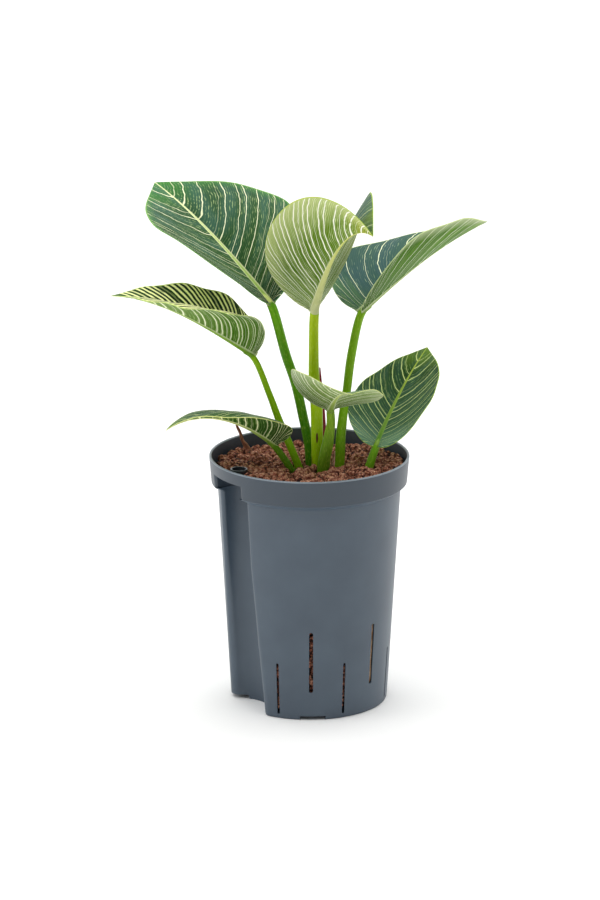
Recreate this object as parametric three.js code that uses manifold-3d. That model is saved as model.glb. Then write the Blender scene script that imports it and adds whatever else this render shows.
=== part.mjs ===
// Potted white birkin philodendron in a hydroculture pot.
// Millimetres, +Z up. The origin is the middle of the pot's flat underside, -Y is the front.
// Seven leaves (stalk, midrib and blade grown in one piece) rise from a short crown whose roots
// run down through a bed of expanded clay granules. The pot has a recess at its front left for a
// water gauge, which drops in through the small collar beside the rim.

import * as THREE from 'three';
import { mergeVertices } from 'three/addons/utils/BufferGeometryUtils.js';
import Module from 'manifold-3d';

const wasm = await Module();
wasm.setup();

// Driving dimensions: pot
const POT_HEIGHT = 190;
const RIM_RADIUS = 75;
const BASE_RADIUS = 59;
const WALL = 2;
const FLOOR = 4.2;
const BAND_HEIGHT = 20;
const BAND_BOTTOM_RADIUS = 73.3;
const BODY_TOP_RADIUS = 68.5;
const BODY_TOP_Z = 163;
const EDGE = 1;
const ROUND_SEGMENTS = 56;

// Driving dimensions: gauge recess, an upright channel that widens towards the foot, as heights
// and radii, and opens outwards between straight sides in the rim band
const GAUGE_ANGLE = -148;
const GAUGE_RADIUS = 61.5;
const RECESS_TOP_Z = 180.5;
const RECESS_FLARE = [[0, 23], [58, 19.3], [116, 17.5]];
const RECESS_SEGMENTS = 40;
const SHELF = 1.7;
const COLLAR_R = 6.4;
const COLLAR_BORE_R = 5.3;
const COLLAR_TOP_Z = 188;
const COLLAR_SEGMENTS = 20;

// Driving dimensions: drain slots in the wall, in turn low and high, none beside the gauge,
// notches under the foot and slits in the floor
const SLOT_COUNT = 13;
const SLOT_PITCH = 24;
const FIRST_SLOT_ANGLE = -112.8;
const HIGH_SLOT = { width: 3, bottom: 22, top: 70 };
const LOW_SLOT = { width: 2, bottom: 3.5, top: 44 };
const FOOT_ANGLE = -87.5;
const FOOT_NOTCH = { count: 4, width: 19, height: 3, from: 34 };
const FLOOR_SLIT = { count: 8, width: 3, from: 20, to: 44, shortTo: 32, shortAngle: 30 };

// Driving dimensions: clay bed and clearances
const CLEARANCE = 0.35;
const BED_MIDDLE_Z = 182;
const BED_SLOPE = 3.2 / 72;
const BED_BOTTOM_Z = -10;
const LUMP_PITCH = 5;
const LUMP_HEIGHT = 4.2;
const LUMP_SEED = 19;

// Driving dimensions: crown and roots in the bed
const CROWN = { at: [6, -8, 158], half: [17, 15, 13] };
const SIDE_SHOOT = { at: [37, -13, 158], half: [9, 8.5, 10] };
const RHIZOME_MIDDLE = [22, -10, 155];
const RHIZOME_RADIUS = 6;
const ROOT_AZIMUTHS = [-100, -52, -8, 38, 84, 128, 172];
const ROOT_RADIUS = 2.1;
const ROOT_WANDER = 7;

// Driving dimensions: blades, their veins and the keel-shaped midrib below
const BLADE_THICKNESS = 0.9;
const BLADE_ROWS = 16;
const BLADE_COLUMNS = [0, 0.07, 0.36, 0.68, 1];
const MIDRIB_STATIONS = 120;
const VEIN_SWEEP = 1.5;
const KEEL_SHARE = 0.8;
const KEEL_FADE = 1.3;

// Driving dimensions: stalks. Near the blade they thin to JOINT_SHARE of their radius, and their
// tip runs on under the midrib for TIP_REACH of its length, TIP_SHARE as thick.
const STALK_SIDES = 8;
const STALK_STEPS = 12;
const JOINT_SHARE = 0.92;
const ELBOW_DROP = 0.4;
const TIP_REACH = 0.07;
const TIP_SHARE = 0.55;
const TIP_DROP = 0.5;
const SMALL_SIDES = 6;
const SMALL_STEPS = 8;

// One leaf: joint of stalk and blade, length along the midrib, half widths to the right and left
// of it. heading and rise give the blade's direction at the joint, sway and droop how far both
// turn by the tip, and bend how late. roll turns it about the midrib. fold lifts each half from
// level (at the joint, at the tip) and curl bends it on towards the margin. Angles in degrees.
// stalk lists [x, y, z, radius] from the joint down to the crown.
const LEAVES = {
  leaf_top_left: {
    joint: [-28.5, 12, 303], length: 188, right: 59, left: 60,
    heading: 120, rise: 22, sway: 2, droop: 11, bend: 1.8, roll: -20, twist: 2,
    foldRight: [58, 9], curlRight: -28, foldLeft: [52, 11], curlLeft: 9, lobe: 0.05, waves: 3, wave: 1.2,
    stalk: [[-17.4, 8.5, 264, 3.9], [-10.4, 7, 243, 3.9], [-4.9, 5.5, 218.5, 3.9],
      [-0.1, 4, 194, 3.9], [1.5, 3, 163, 3.9]],
  },
  leaf_top_centre: {
    joint: [3.5, -8, 302], length: 161, right: 53, left: 52,
    heading: -70, rise: 57, sway: -3, droop: 57, bend: 1.4, roll: -3, twist: 1,
    foldRight: [54, 65], curlRight: -26, foldLeft: [53, 70], curlLeft: -16, lobe: 0.03, waves: 2, wave: 0.6,
    stalk: [[3.2, -7.3, 268, 4], [3.5, -7, 250.5, 4.3], [5.3, -6.7, 228, 4.8],
      [5.7, -6.4, 206.5, 4.8], [6.5, -6, 162, 4.8]],
  },
  leaf_top_right: {
    joint: [38.5, 9, 297.5], length: 157, right: 48, left: 49,
    heading: 51, rise: 20, sway: -4, droop: 11, bend: 1.5, roll: -6, twist: -2,
    foldRight: [43, 30], curlRight: 23, foldLeft: [43, 4], curlLeft: -10, lobe: 0.04, waves: 3, wave: 1.0,
    stalk: [[31.3, 4, 265.5, 3.3], [27.7, 0.8, 237.5, 3.2], [25.7, -0.5, 225, 3.3],
      [23.6, -2.5, 205.5, 3.8], [21.6, -5, 179, 3.9], [15, -7, 160, 3.9]],
  },
  leaf_middle_left: {
    joint: [-41.5, -1, 266], length: 117, right: 49, left: 49,
    heading: 169, rise: 30, sway: 5, droop: 30, bend: 2.3, roll: 37, twist: -13,
    foldRight: [21, 28], curlRight: 56, foldLeft: [51, -6], curlLeft: -60, lobe: 0.02, waves: 5, wave: 1.0,
    stalk: [[-29.5, -4.8, 237, 2.5], [-22.5, -6.6, 218, 2.9], [-14, -8.5, 198, 3],
      [-7, -10, 180, 3], [-1.5, -10, 160, 3]],
  },
  leaf_low_left: {
    joint: [-25.5, -16, 201.5], length: 88, right: 43, left: 46,
    heading: 181, rise: 37, sway: 10, droop: 70, bend: 1.5, roll: 12, twist: 0,
    foldRight: [37, 11], curlRight: -38, foldLeft: [57, 12], curlLeft: -60, lobe: 0.05, waves: 3, wave: 0.8,
    stalk: [[-18.8, -18, 191.5, 2.7], [-12.5, -19, 181.5, 2.7], [-2, -15.5, 160, 2.9]],
  },
  leaf_low_centre: {
    joint: [15.5, -20, 230], length: 106, right: 39, left: 36,
    heading: -85, rise: 29, sway: 8, droop: 18, bend: 1.3, roll: 4, twist: -3,
    foldRight: [21, 17], curlRight: 41, foldLeft: [14, 10], curlLeft: -28, lobe: 0.05, waves: 3, wave: 0.6,
    stalk: [[15.9, -19.6, 219.5, 3.4], [13.7, -19.4, 204, 4.6], [11.1, -19, 191, 4.9],
      [9.5, -16.5, 160, 4.9]],
  },
  leaf_low_right: {
    joint: [49.5, -10, 199], length: 120, right: 40, left: 32,
    heading: 71, rise: 27, sway: -7, droop: 6, bend: 1.3, roll: 5, twist: -2,
    foldRight: [24, 11], curlRight: 24, foldLeft: [45, 10], curlLeft: -30, lobe: 0.05, waves: 4, wave: 0.9,
    stalk: [[46.5, -12.4, 190, 3.2], [44, -14, 181.5, 3.4], [38, -13, 160, 3.6]],
  },
};

// Rolled new leaf and dry remains: [x, y, z, radius] from the foot to the tip
const SPEAR = [[11.5, 1.2, 162, 2.3], [11.5, 1.4, 180, 2.3], [11.2, 1.6, 206, 2.0],
  [10.6, 2.0, 227, 1.5], [9.2, 2.6, 242, 1.1], [8.1, 3.2, 256, 0.5]];
const DRY_SHEATH_RIGHT = [[15.6, -13.4, 163, 1.6], [16.4, -14, 176, 1.8], [17.6, -14.4, 187, 2.1],
  [18.9, -14.2, 196, 0.7]];
const DRY_SHEATH_LEFT = [[0.6, -5.2, 163, 1.1], [-0.8, -4.6, 176, 1.2], [-4.6, -4.2, 185, 1.1],
  [-8.8, -4.2, 194, 0.5]];
const DRY_ROOT = [[-40, 33, 168, 2.2], [-45, 36.5, 182, 2.2], [-50.4, 37, 189.5, 1.9],
  [-52, 37, 195.5, 1.6], [-55, 37, 202, 1.3]];

const radians = THREE.MathUtils.degToRad;
const gaugeX = GAUGE_RADIUS * Math.cos(radians(GAUGE_ANGLE));
const gaugeY = GAUGE_RADIUS * Math.sin(radians(GAUGE_ANGLE));

// Solids

function solidOf(geometry) {
  const plain = geometry.index ? geometry.clone() : geometry;
  plain.deleteAttribute('normal');
  plain.deleteAttribute('uv');
  const merged = mergeVertices(plain, 1e-4);
  return new wasm.Manifold(new wasm.Mesh({
    numProp: 3,
    vertProperties: new Float32Array(merged.attributes.position.array),
    triVerts: new Uint32Array(merged.index.array),
  }));
}

function geometryOf(solid) {
  const mesh = solid.getMesh();
  const geometry = new THREE.BufferGeometry();
  geometry.setAttribute('position', new THREE.BufferAttribute(mesh.vertProperties.slice(), 3));
  geometry.setIndex(new THREE.BufferAttribute(mesh.triVerts.slice(), 1));
  geometry.computeVertexNormals();
  return geometry;
}

// A turned body about the Z axis, from [radius, z] points that start and end on the axis
function turned(profile, segments = ROUND_SEGMENTS) {
  const points = profile.map(([r, z]) => new THREE.Vector2(r, z));
  return solidOf(new THREE.LatheGeometry(points, segments).rotateX(Math.PI / 2));
}

// An upright frustum on the gauge's axis
function onGaugeAxis(radiusBottom, radiusTop, z0, z1, segments) {
  const frustum = turned([[0, z0], [radiusBottom, z0], [radiusTop, z1], [0, z1]], segments);
  return frustum.translate([gaugeX, gaugeY, 0]);
}

function radialBox(angle, from, to, width, z0, z1) {
  const box = new THREE.BoxGeometry(to - from, width, z1 - z0);
  box.translate((from + to) / 2, 0, (z0 + z1) / 2);
  return solidOf(box.rotateZ(radians(angle)));
}

// A round bar along a smooth curve through [x, y, z, radius] points, closed at both ends.
// grow widens it and lengthens its ends, for the hole that it stands in.
function bar(points, sides, steps, grow = 0) {
  const curve = new THREE.CatmullRomCurve3(points.map(([x, y, z]) => new THREE.Vector3(x, y, z)));
  const { normals, binormals, tangents } = curve.computeFrenetFrames(steps, false);
  const vertices = [];
  for (let i = 0; i <= steps; i++) {
    const place = curve.getUtoTmapping(i / steps) * (points.length - 1);
    const k = Math.min(Math.floor(place), points.length - 2);
    const radius = THREE.MathUtils.lerp(points[k][3], points[k + 1][3], place - k) + grow;
    const centre = curve.getPointAt(i / steps);
    if (i === 0) centre.addScaledVector(tangents[i], -grow);
    if (i === steps) centre.addScaledVector(tangents[i], grow);
    for (let s = 0; s < sides; s++) {
      const a = (2 * Math.PI * s) / sides;
      vertices.push(centre.clone()
        .addScaledVector(normals[i], radius * Math.cos(a))
        .addScaledVector(binormals[i], radius * Math.sin(a)));
    }
  }
  const index = [];
  for (let i = 0; i < steps; i++) {
    for (let s = 0; s < sides; s++) {
      const [a, b] = [i * sides + s, i * sides + ((s + 1) % sides)];
      index.push(a, b, a + sides, b, b + sides, a + sides);
    }
  }
  const last = steps * sides;
  for (let s = 1; s < sides - 1; s++) {
    index.push(0, s + 1, s, last, last + s, last + s + 1);
  }
  return solidOf(indexed(vertices, index));
}

function indexed(vertices, index) {
  const geometry = new THREE.BufferGeometry().setFromPoints(vertices);
  geometry.setIndex(index);
  return geometry;
}

function ellipsoid({ at, half }, grow = 0) {
  const ball = new THREE.IcosahedronGeometry(1, 1);
  ball.scale(half[0] + grow, half[1] + grow, half[2] + grow).translate(...at);
  return solidOf(ball);
}

// The largest body of a solid, without loose scraps
function largestOf(solid) {
  return solid.decompose().sort((a, b) => b.volume() - a.volume())[0];
}

// Repeatable draws from 0 to 1
function drawsFrom(seed) {
  let state = seed;
  return () => {
    state = (state * 1664525 + 1013904223) % 4294967296;
    return state / 4294967296;
  };
}

// Pot

const bodyRadiusAt = (z) => THREE.MathUtils.lerp(BASE_RADIUS, BODY_TOP_RADIUS, z / BODY_TOP_Z);
const bandBottomZ = POT_HEIGHT - BAND_HEIGHT;

// The round space inside the wall, made smaller by less for what fills it
function potInside(less, top) {
  return turned([
    [0, FLOOR + less],
    [bodyRadiusAt(FLOOR) - WALL - less, FLOOR + less],
    [BODY_TOP_RADIUS - WALL - less, BODY_TOP_Z],
    [BAND_BOTTOM_RADIUS - WALL - less, bandBottomZ],
    [RIM_RADIUS - WALL - less, top],
    [0, top],
  ]);
}

// The upright channel for the gauge, as wide as its recess plus extra
function gaugeChannel(extra, z0, z1) {
  const [[, foot], ...flare] = RECESS_FLARE;
  const upright = flare[flare.length - 1][1];
  const profile = [[0, z0], [foot + extra, z0], ...flare.map(([z, r]) => [r + extra, z]),
    [upright + extra, z1], [0, z1]];
  const channel = turned(profile, RECESS_SEGMENTS).translate([gaugeX, gaugeY, 0]);
  const mouthWidth = 2 * (upright + extra);
  return channel.add(radialBox(GAUGE_ANGLE, GAUGE_RADIUS, RIM_RADIUS + 3, mouthWidth,
    bandBottomZ - extra, z1));
}

// How far an angle is from the gauge's, both ways round
function angleFromGauge(angle) {
  return Math.abs(((angle - GAUGE_ANGLE + 540) % 360) - 180);
}

// count angles spread evenly round the foot, from FOOT_ANGLE plus offset shares of their pitch
function anglesAround(count, offset = 0) {
  return Array.from({ length: count }, (_, i) => FOOT_ANGLE + ((i + offset) * 360) / count);
}

function wallSlots() {
  return Array.from({ length: SLOT_COUNT }, (_, i) => (
    { angle: FIRST_SLOT_ANGLE + i * SLOT_PITCH, slot: i % 2 === 0 ? LOW_SLOT : HIGH_SLOT }));
}

function makePot() {
  const outside = turned([
    [0, 0],
    [BASE_RADIUS - EDGE, 0],
    [bodyRadiusAt(EDGE), EDGE],
    [BODY_TOP_RADIUS, BODY_TOP_Z],
    [BAND_BOTTOM_RADIUS, bandBottomZ - EDGE],
    [RIM_RADIUS, POT_HEIGHT - EDGE],
    [RIM_RADIUS - EDGE, POT_HEIGHT],
    [0, POT_HEIGHT],
  ]);
  const wallFrom = BASE_RADIUS - WALL - 3;
  const wallTo = BODY_TOP_RADIUS + 3;
  const sleeve = gaugeChannel(WALL, 0, RECESS_TOP_Z + SHELF).intersect(outside);
  let pot = outside.subtract(potInside(0, POT_HEIGHT + 1)).add(sleeve);
  pot = pot.add(onGaugeAxis(COLLAR_R, COLLAR_R, RECESS_TOP_Z, COLLAR_TOP_Z, COLLAR_SEGMENTS));
  pot = pot.subtract(gaugeChannel(0, -1, RECESS_TOP_Z));
  pot = pot.subtract(onGaugeAxis(COLLAR_BORE_R, COLLAR_BORE_R, BODY_TOP_Z, POT_HEIGHT, COLLAR_SEGMENTS));
  for (const { angle, slot } of wallSlots()) {
    pot = pot.subtract(radialBox(angle, wallFrom, wallTo, slot.width, slot.bottom, slot.top));
  }
  for (const angle of anglesAround(FOOT_NOTCH.count)) {
    const { from, width, height } = FOOT_NOTCH;
    pot = pot.subtract(radialBox(angle, from, RIM_RADIUS, width, -1, height));
  }
  for (const angle of anglesAround(FLOOR_SLIT.count, 0.5)) {
    const { from, width, shortAngle, shortTo } = FLOOR_SLIT;
    const to = angleFromGauge(angle) < shortAngle ? shortTo : FLOOR_SLIT.to;
    pot = pot.subtract(radialBox(angle, from, to, width, -1, FLOOR + 1));
  }
  return pot;
}

// Leaves

// Half outline of a blade from the joint to the apex, as shares of its length and half width,
// and how far a basal lobe of size 1 reaches back at each point
const HALF_OUTLINE = [[0, 0], [0, 0.13], [0.012, 0.33], [0.045, 0.58], [0.11, 0.82], [0.21, 0.965],
  [0.34, 1], [0.5, 0.91], [0.67, 0.71], [0.81, 0.46], [0.91, 0.23], [0.965, 0.09], [1, 0]];
const LOBE_REACH = [0, 0.55, 1, 0.95, 0.6, 0.25, 0.05, 0, 0, 0, 0, 0, 0];

// Half width against length while the margin's length is measured
const OUTLINE_SLIMNESS = 0.36;

class Blade {
  constructor(leaf) {
    this.leaf = leaf;
    const outline = HALF_OUTLINE.map(([along, across], i) => (
      new THREE.Vector2(along - leaf.lobe * LOBE_REACH[i], across * OUTLINE_SLIMNESS)));
    this.margin = new THREE.SplineCurve(outline);
    this.margin.arcLengthDivisions = 400;
    this.stations = this.midribStations(MIDRIB_STATIONS);
  }

  // Points and frames along the midrib: forward, up (the upper side) and right
  midribStations(count) {
    const { heading, sway, rise, droop, bend, roll, twist, length, joint } = this.leaf;
    const stations = [];
    const point = new THREE.Vector3(...joint);
    for (let i = 0; i <= count; i++) {
      const t = i / count;
      const h = radians(heading + sway * t ** bend);
      const r = radians(rise - droop * t ** bend);
      const forward = new THREE.Vector3(Math.cos(r) * Math.cos(h), Math.cos(r) * Math.sin(h), Math.sin(r));
      const level = new THREE.Vector3(-Math.sin(r) * Math.cos(h), -Math.sin(r) * Math.sin(h), Math.cos(r));
      const up = level.clone().applyAxisAngle(forward, radians(roll + twist * t));
      const right = forward.clone().cross(up);
      if (i > 0) {
        const mean = stations[i - 1].forward.clone().add(forward).multiplyScalar(0.5);
        point.addScaledVector(mean, length / count);
      }
      stations.push({ point: point.clone(), forward, up, right });
    }
    return stations;
  }

  stationAt(along) {
    const { length } = this.leaf;
    const within = THREE.MathUtils.clamp(along, 0, length);
    const place = (within / length) * (this.stations.length - 1);
    const i = Math.min(Math.floor(place), this.stations.length - 2);
    const [a, b] = [this.stations[i], this.stations[i + 1]];
    const mix = (name) => a[name].clone().lerp(b[name], place - i);
    const point = mix('point').addScaledVector(a.forward, along - within);
    return { point, up: mix('up'), right: mix('right'), share: within / length };
  }

  // A point of the blade: u runs along the margin from joint to apex, v from midrib to margin
  // along a vein, and side is 1 to the right of the midrib and -1 to its left
  pointAt(u, v, side) {
    const { leaf } = this;
    const half = side > 0 ? leaf.right : leaf.left;
    const [foldJoint, foldTip] = side > 0 ? leaf.foldRight : leaf.foldLeft;
    const curl = radians(side > 0 ? leaf.curlRight : leaf.curlLeft);
    const margin = this.margin.getPointAt(u);
    const root = u ** VEIN_SWEEP;
    const along = leaf.length * (root + (margin.x - root) * v ** VEIN_SWEEP);
    const across = (half * margin.y * v) / OUTLINE_SLIMNESS;
    const { point, up, right, share } = this.stationAt(along);
    const fold = radians(foldJoint + (foldTip - foldJoint) * share);
    const turn = (curl * across) / half / 2;
    const chord = turn === 0 ? across : (across * Math.sin(turn)) / turn;
    const wave = leaf.wave * v ** 3 * Math.sin(2 * Math.PI * leaf.waves * u) * Math.sin(Math.PI * u);
    point.addScaledVector(right, side * chord * Math.cos(fold + turn));
    point.addScaledVector(up, chord * Math.sin(fold + turn) + wave);
    return { point, share, onMidrib: v === 0 };
  }

  // The blade as a thin closed body with a keel-shaped midrib below
  solid() {
    const leftColumns = BLADE_COLUMNS.slice(1).reverse().map((v) => [v, -1]);
    const columns = [...leftColumns, ...BLADE_COLUMNS.map((v) => [v, 1])];
    const width = columns.length;
    const rows = [];
    for (let i = 1; i < BLADE_ROWS; i++) {
      rows.push(columns.map(([v, side]) => this.pointAt(i / BLADE_ROWS, v, side)));
    }
    const sheet = [this.pointAt(0, 0, 1), ...rows.flat(), this.pointAt(1, 0, 1)];
    const apex = sheet.length - 1;
    const at = (i, j) => 1 + i * width + j;
    const faces = [];
    for (let j = 0; j < width - 1; j++) {
      faces.push([0, at(0, j + 1), at(0, j)]);
      for (let i = 0; i < rows.length - 1; i++) {
        faces.push([at(i, j), at(i, j + 1), at(i + 1, j + 1)]);
        faces.push([at(i, j), at(i + 1, j + 1), at(i + 1, j)]);
      }
      faces.push([at(rows.length - 1, j), at(rows.length - 1, j + 1), apex]);
    }
    const leftRim = rows.map((_, i) => at(i, 0));
    const rightRim = rows.map((_, i) => at(i, width - 1)).reverse();
    return this.thicken(sheet, faces, [0, ...leftRim, apex, ...rightRim]);
  }

  thicken(sheet, faces, rim) {
    const sheetGeometry = indexed(sheet.map(({ point }) => point), faces.flat());
    sheetGeometry.computeVertexNormals();
    const normals = sheetGeometry.attributes.normal;
    const count = sheet.length;
    const keelDepth = KEEL_SHARE * this.leaf.stalk[0][3];
    const upper = [];
    const lower = [];
    sheet.forEach(({ point, share, onMidrib }, i) => {
      const normal = new THREE.Vector3().fromBufferAttribute(normals, i);
      const keel = onMidrib ? keelDepth * (1 - share) ** KEEL_FADE : 0;
      upper.push(point.clone().addScaledVector(normal, BLADE_THICKNESS / 2));
      lower.push(point.clone().addScaledVector(normal, -BLADE_THICKNESS / 2 - keel));
    });
    const index = faces.flat();
    for (const [a, b, c] of faces) index.push(a + count, c + count, b + count);
    rim.forEach((a, k) => {
      const b = rim[(k + 1) % rim.length];
      index.push(a, b, b + count, a, b + count, a + count);
    });
    return solidOf(indexed([...upper, ...lower], index));
  }

  // The stalk's points from its tip under the midrib, round the elbow at the joint, to the crown
  stalkPoints() {
    const { length, stalk } = this.leaf;
    const jointRadius = JOINT_SHARE * stalk[0][3];
    const under = this.stationAt(length * TIP_REACH);
    const tip = under.point.addScaledVector(under.up, -TIP_DROP * jointRadius);
    const start = this.stations[0];
    const elbow = start.point.clone().addScaledVector(start.up, -ELBOW_DROP * jointRadius);
    return [[...tip, TIP_SHARE * jointRadius], [...elbow, jointRadius], ...stalk];
  }
}

// Crown and roots

// One root's points, as [distance from the pot's axis, height, share of ROOT_RADIUS]: out from
// the crown, down beside the wall and in again under the bed
function rootPoints(azimuth, i) {
  const odd = i % 2;
  const course = [[8, 156, 1.15], [24, 146, 1], [40 + 3 * odd, 112, 0.9], [46, 72 - 6 * (i % 3), 0.75],
    [38 - 5 * odd, 34, 0.6], [22, 14, 0.4]];
  const wander = odd ? ROOT_WANDER : -ROOT_WANDER;
  return course.map(([r, z, share], k) => {
    const angle = radians(azimuth + wander * Math.sin(k * 1.4));
    const fade = 1 - k / (course.length - 1);
    const [cx, cy] = [CROWN.at[0] * fade, CROWN.at[1] * fade];
    return [cx + r * Math.cos(angle), cy + r * Math.sin(angle), z, ROOT_RADIUS * share];
  });
}

function makeCrown(grow = 0) {
  const rhizome = [CROWN.at, RHIZOME_MIDDLE, SIDE_SHOOT.at].map((at) => [...at, RHIZOME_RADIUS]);
  let crown = ellipsoid(CROWN, grow).add(ellipsoid(SIDE_SHOOT, grow)).add(bar(rhizome, 8, 4, grow));
  ROOT_AZIMUTHS.forEach((azimuth, i) => {
    crown = crown.add(bar(rootPoints(azimuth, i), 5, 9, grow));
  });
  return crown;
}

// Clay bed

// The bed's upper surface, higher at the front: on a staggered grid every third point is the
// peak of a lump and the six round it are hollows
function bedSurface() {
  const draw = drawsFrom(LUMP_SEED);
  const half = Math.ceil((RIM_RADIUS + LUMP_PITCH) / LUMP_PITCH);
  const rowPitch = (LUMP_PITCH * Math.sqrt(3)) / 2;
  const halfRows = Math.ceil((RIM_RADIUS + LUMP_PITCH) / rowPitch);
  const jitter = () => (draw() - 0.5) * 0.5 * LUMP_PITCH;
  const rows = [];
  for (let row = -halfRows; row <= halfRows; row++) {
    const points = [];
    for (let column = -half; column <= half; column++) {
      const x = (column + (row % 2 === 0 ? 0 : 0.5)) * LUMP_PITCH + jitter();
      const y = row * rowPitch + jitter();
      const isPeak = (column - Math.floor(row / 2) - row) % 3 === 0;
      const lift = (isPeak ? 0.5 : -0.35) * LUMP_HEIGHT + (draw() - 0.5) * 0.4 * LUMP_HEIGHT;
      points.push(new THREE.Vector3(x, y, BED_MIDDLE_Z - BED_SLOPE * y + lift));
    }
    rows.push(points);
  }
  return rows;
}

// A closed slab from far below up to that surface
function rubbleSlab() {
  const rows = bedSurface();
  const width = rows[0].length;
  const top = rows.flat();
  const vertices = [...top, ...top.map(({ x, y }) => new THREE.Vector3(x, y, BED_BOTTOM_Z))];
  const count = top.length;
  const index = [];
  for (let r = 0; r < rows.length - 1; r++) {
    for (let c = 0; c < width - 1; c++) {
      const [a, b] = [r * width + c, r * width + c + 1];
      const [d, e] = [a + width, b + width];
      const faces = r % 2 === 0 ? [[a, b, d], [b, e, d]] : [[a, b, e], [a, e, d]];
      for (const [i, j, k] of faces) index.push(i, j, k, i + count, k + count, j + count);
    }
  }
  const rim = [];
  for (let c = 0; c < width; c++) rim.push(c);
  for (let r = 1; r < rows.length; r++) rim.push(r * width + width - 1);
  for (let c = width - 2; c >= 0; c--) rim.push((rows.length - 1) * width + c);
  for (let r = rows.length - 2; r > 0; r--) rim.push(r * width);
  rim.forEach((a, k) => {
    const b = rim[(k + 1) % rim.length];
    index.push(a, a + count, b + count, a, b + count, b);
  });
  return solidOf(indexed(vertices, index));
}

function makeBed(holes) {
  let bed = potInside(CLEARANCE, POT_HEIGHT).intersect(rubbleSlab());
  bed = bed.subtract(gaugeChannel(WALL + CLEARANCE, -1, RECESS_TOP_Z + SHELF + CLEARANCE));
  const collarHole = COLLAR_R + CLEARANCE;
  bed = bed.subtract(onGaugeAxis(collarHole, collarHole, BODY_TOP_Z, POT_HEIGHT + 1, COLLAR_SEGMENTS));
  for (const hole of holes) bed = bed.subtract(hole);
  return largestOf(bed);
}

// Assembly

const COLOURS = {
  pot: { color: '#56626e', roughness: 0.55 },
  clay_granules: { color: '#8a4a34', roughness: 0.95 },
  crown_and_roots: { color: '#b59a72', roughness: 0.8 },
  leaf: { color: '#3f6a3c', roughness: 0.4 },
  new_leaf_spear: { color: '#8c2436', roughness: 0.4 },
  dry: { color: '#7a4f35', roughness: 0.85 },
};

const part = new THREE.Group();

function place(name, solid, finish) {
  const material = new THREE.MeshStandardMaterial({ ...finish, metalness: 0 });
  const mesh = new THREE.Mesh(geometryOf(solid), material);
  mesh.name = name;
  part.add(mesh);
}

const crownClearance = makeCrown(CLEARANCE);
const holes = [crownClearance];

place('pot', makePot(), COLOURS.pot);
place('crown_and_roots', makeCrown(), COLOURS.crown_and_roots);

for (const [name, leaf] of Object.entries(LEAVES)) {
  const blade = new Blade(leaf);
  const path = blade.stalkPoints();
  const stalk = bar(path, STALK_SIDES, STALK_STEPS).subtract(crownClearance);
  place(name, blade.solid().add(stalk), COLOURS.leaf);
  holes.push(bar(path, STALK_SIDES, STALK_STEPS, CLEARANCE));
}

const SMALL_PIECES = [
  ['new_leaf_spear', SPEAR, COLOURS.new_leaf_spear],
  ['dry_sheath_right', DRY_SHEATH_RIGHT, COLOURS.dry],
  ['dry_sheath_left', DRY_SHEATH_LEFT, COLOURS.dry],
  ['dry_root', DRY_ROOT, COLOURS.dry],
];
for (const [name, points, finish] of SMALL_PIECES) {
  place(name, bar(points, SMALL_SIDES, SMALL_STEPS).subtract(crownClearance), finish);
  holes.push(bar(points, SMALL_SIDES, SMALL_STEPS, CLEARANCE));
}

place('clay_granules', makeBed(holes), COLOURS.clay_granules);

export default part;
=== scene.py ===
"""Looks of a potted white birkin philodendron. Metres, +Z up, -Y is the front."""

import logging
import math
from dataclasses import dataclass, replace
from enum import Enum
from typing import Any, Callable, Optional, Sequence

import bpy
import numpy as np
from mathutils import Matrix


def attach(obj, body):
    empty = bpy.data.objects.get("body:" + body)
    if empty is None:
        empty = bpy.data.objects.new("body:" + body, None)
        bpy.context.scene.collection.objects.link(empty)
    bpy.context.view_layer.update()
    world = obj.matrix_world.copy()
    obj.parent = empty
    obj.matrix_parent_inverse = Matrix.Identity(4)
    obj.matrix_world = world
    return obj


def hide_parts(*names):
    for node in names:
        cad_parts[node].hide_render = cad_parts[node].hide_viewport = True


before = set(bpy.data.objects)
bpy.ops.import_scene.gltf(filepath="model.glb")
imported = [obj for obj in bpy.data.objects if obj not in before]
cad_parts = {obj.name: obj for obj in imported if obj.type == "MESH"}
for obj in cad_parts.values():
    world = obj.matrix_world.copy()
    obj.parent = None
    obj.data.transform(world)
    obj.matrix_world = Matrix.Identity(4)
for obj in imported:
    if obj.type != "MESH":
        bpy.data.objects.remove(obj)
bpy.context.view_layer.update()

log = logging.getLogger("birkin")

MM = 0.001
# The "plan" UV maps are in decimetres
PLAN_MM = 100.0
Points = np.ndarray
Socket = bpy.types.NodeSocket
RadiusPoint = tuple[float, float, float, float]
# Index of refraction of plant wax
WAX_IOR = 1.45

# Height at which the stalks pass through the clay's surface, in millimetres
FEET_LEVEL = 183.0
# Sockets of a Mix node that mixes colours
MIX_A = 6
MIX_B = 7
MIX_OUT = 2


# Colour and nodes

def linear(hex_code: str) -> tuple[float, float, float, float]:
    """Turn an sRGB hex value such as "#a0b0c0" into a linear colour with alpha.

    Args:
        hex_code: the value, with its #.

    Returns:
        The linear colour.
    """
    channels = [int(hex_code[i:i + 2], 16) / 255 for i in (1, 3, 5)]
    toned = [c / 12.92 if c <= 0.04045 else ((c + 0.055) / 1.055) ** 2.4 for c in channels]
    return (*toned, 1.0)


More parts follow.
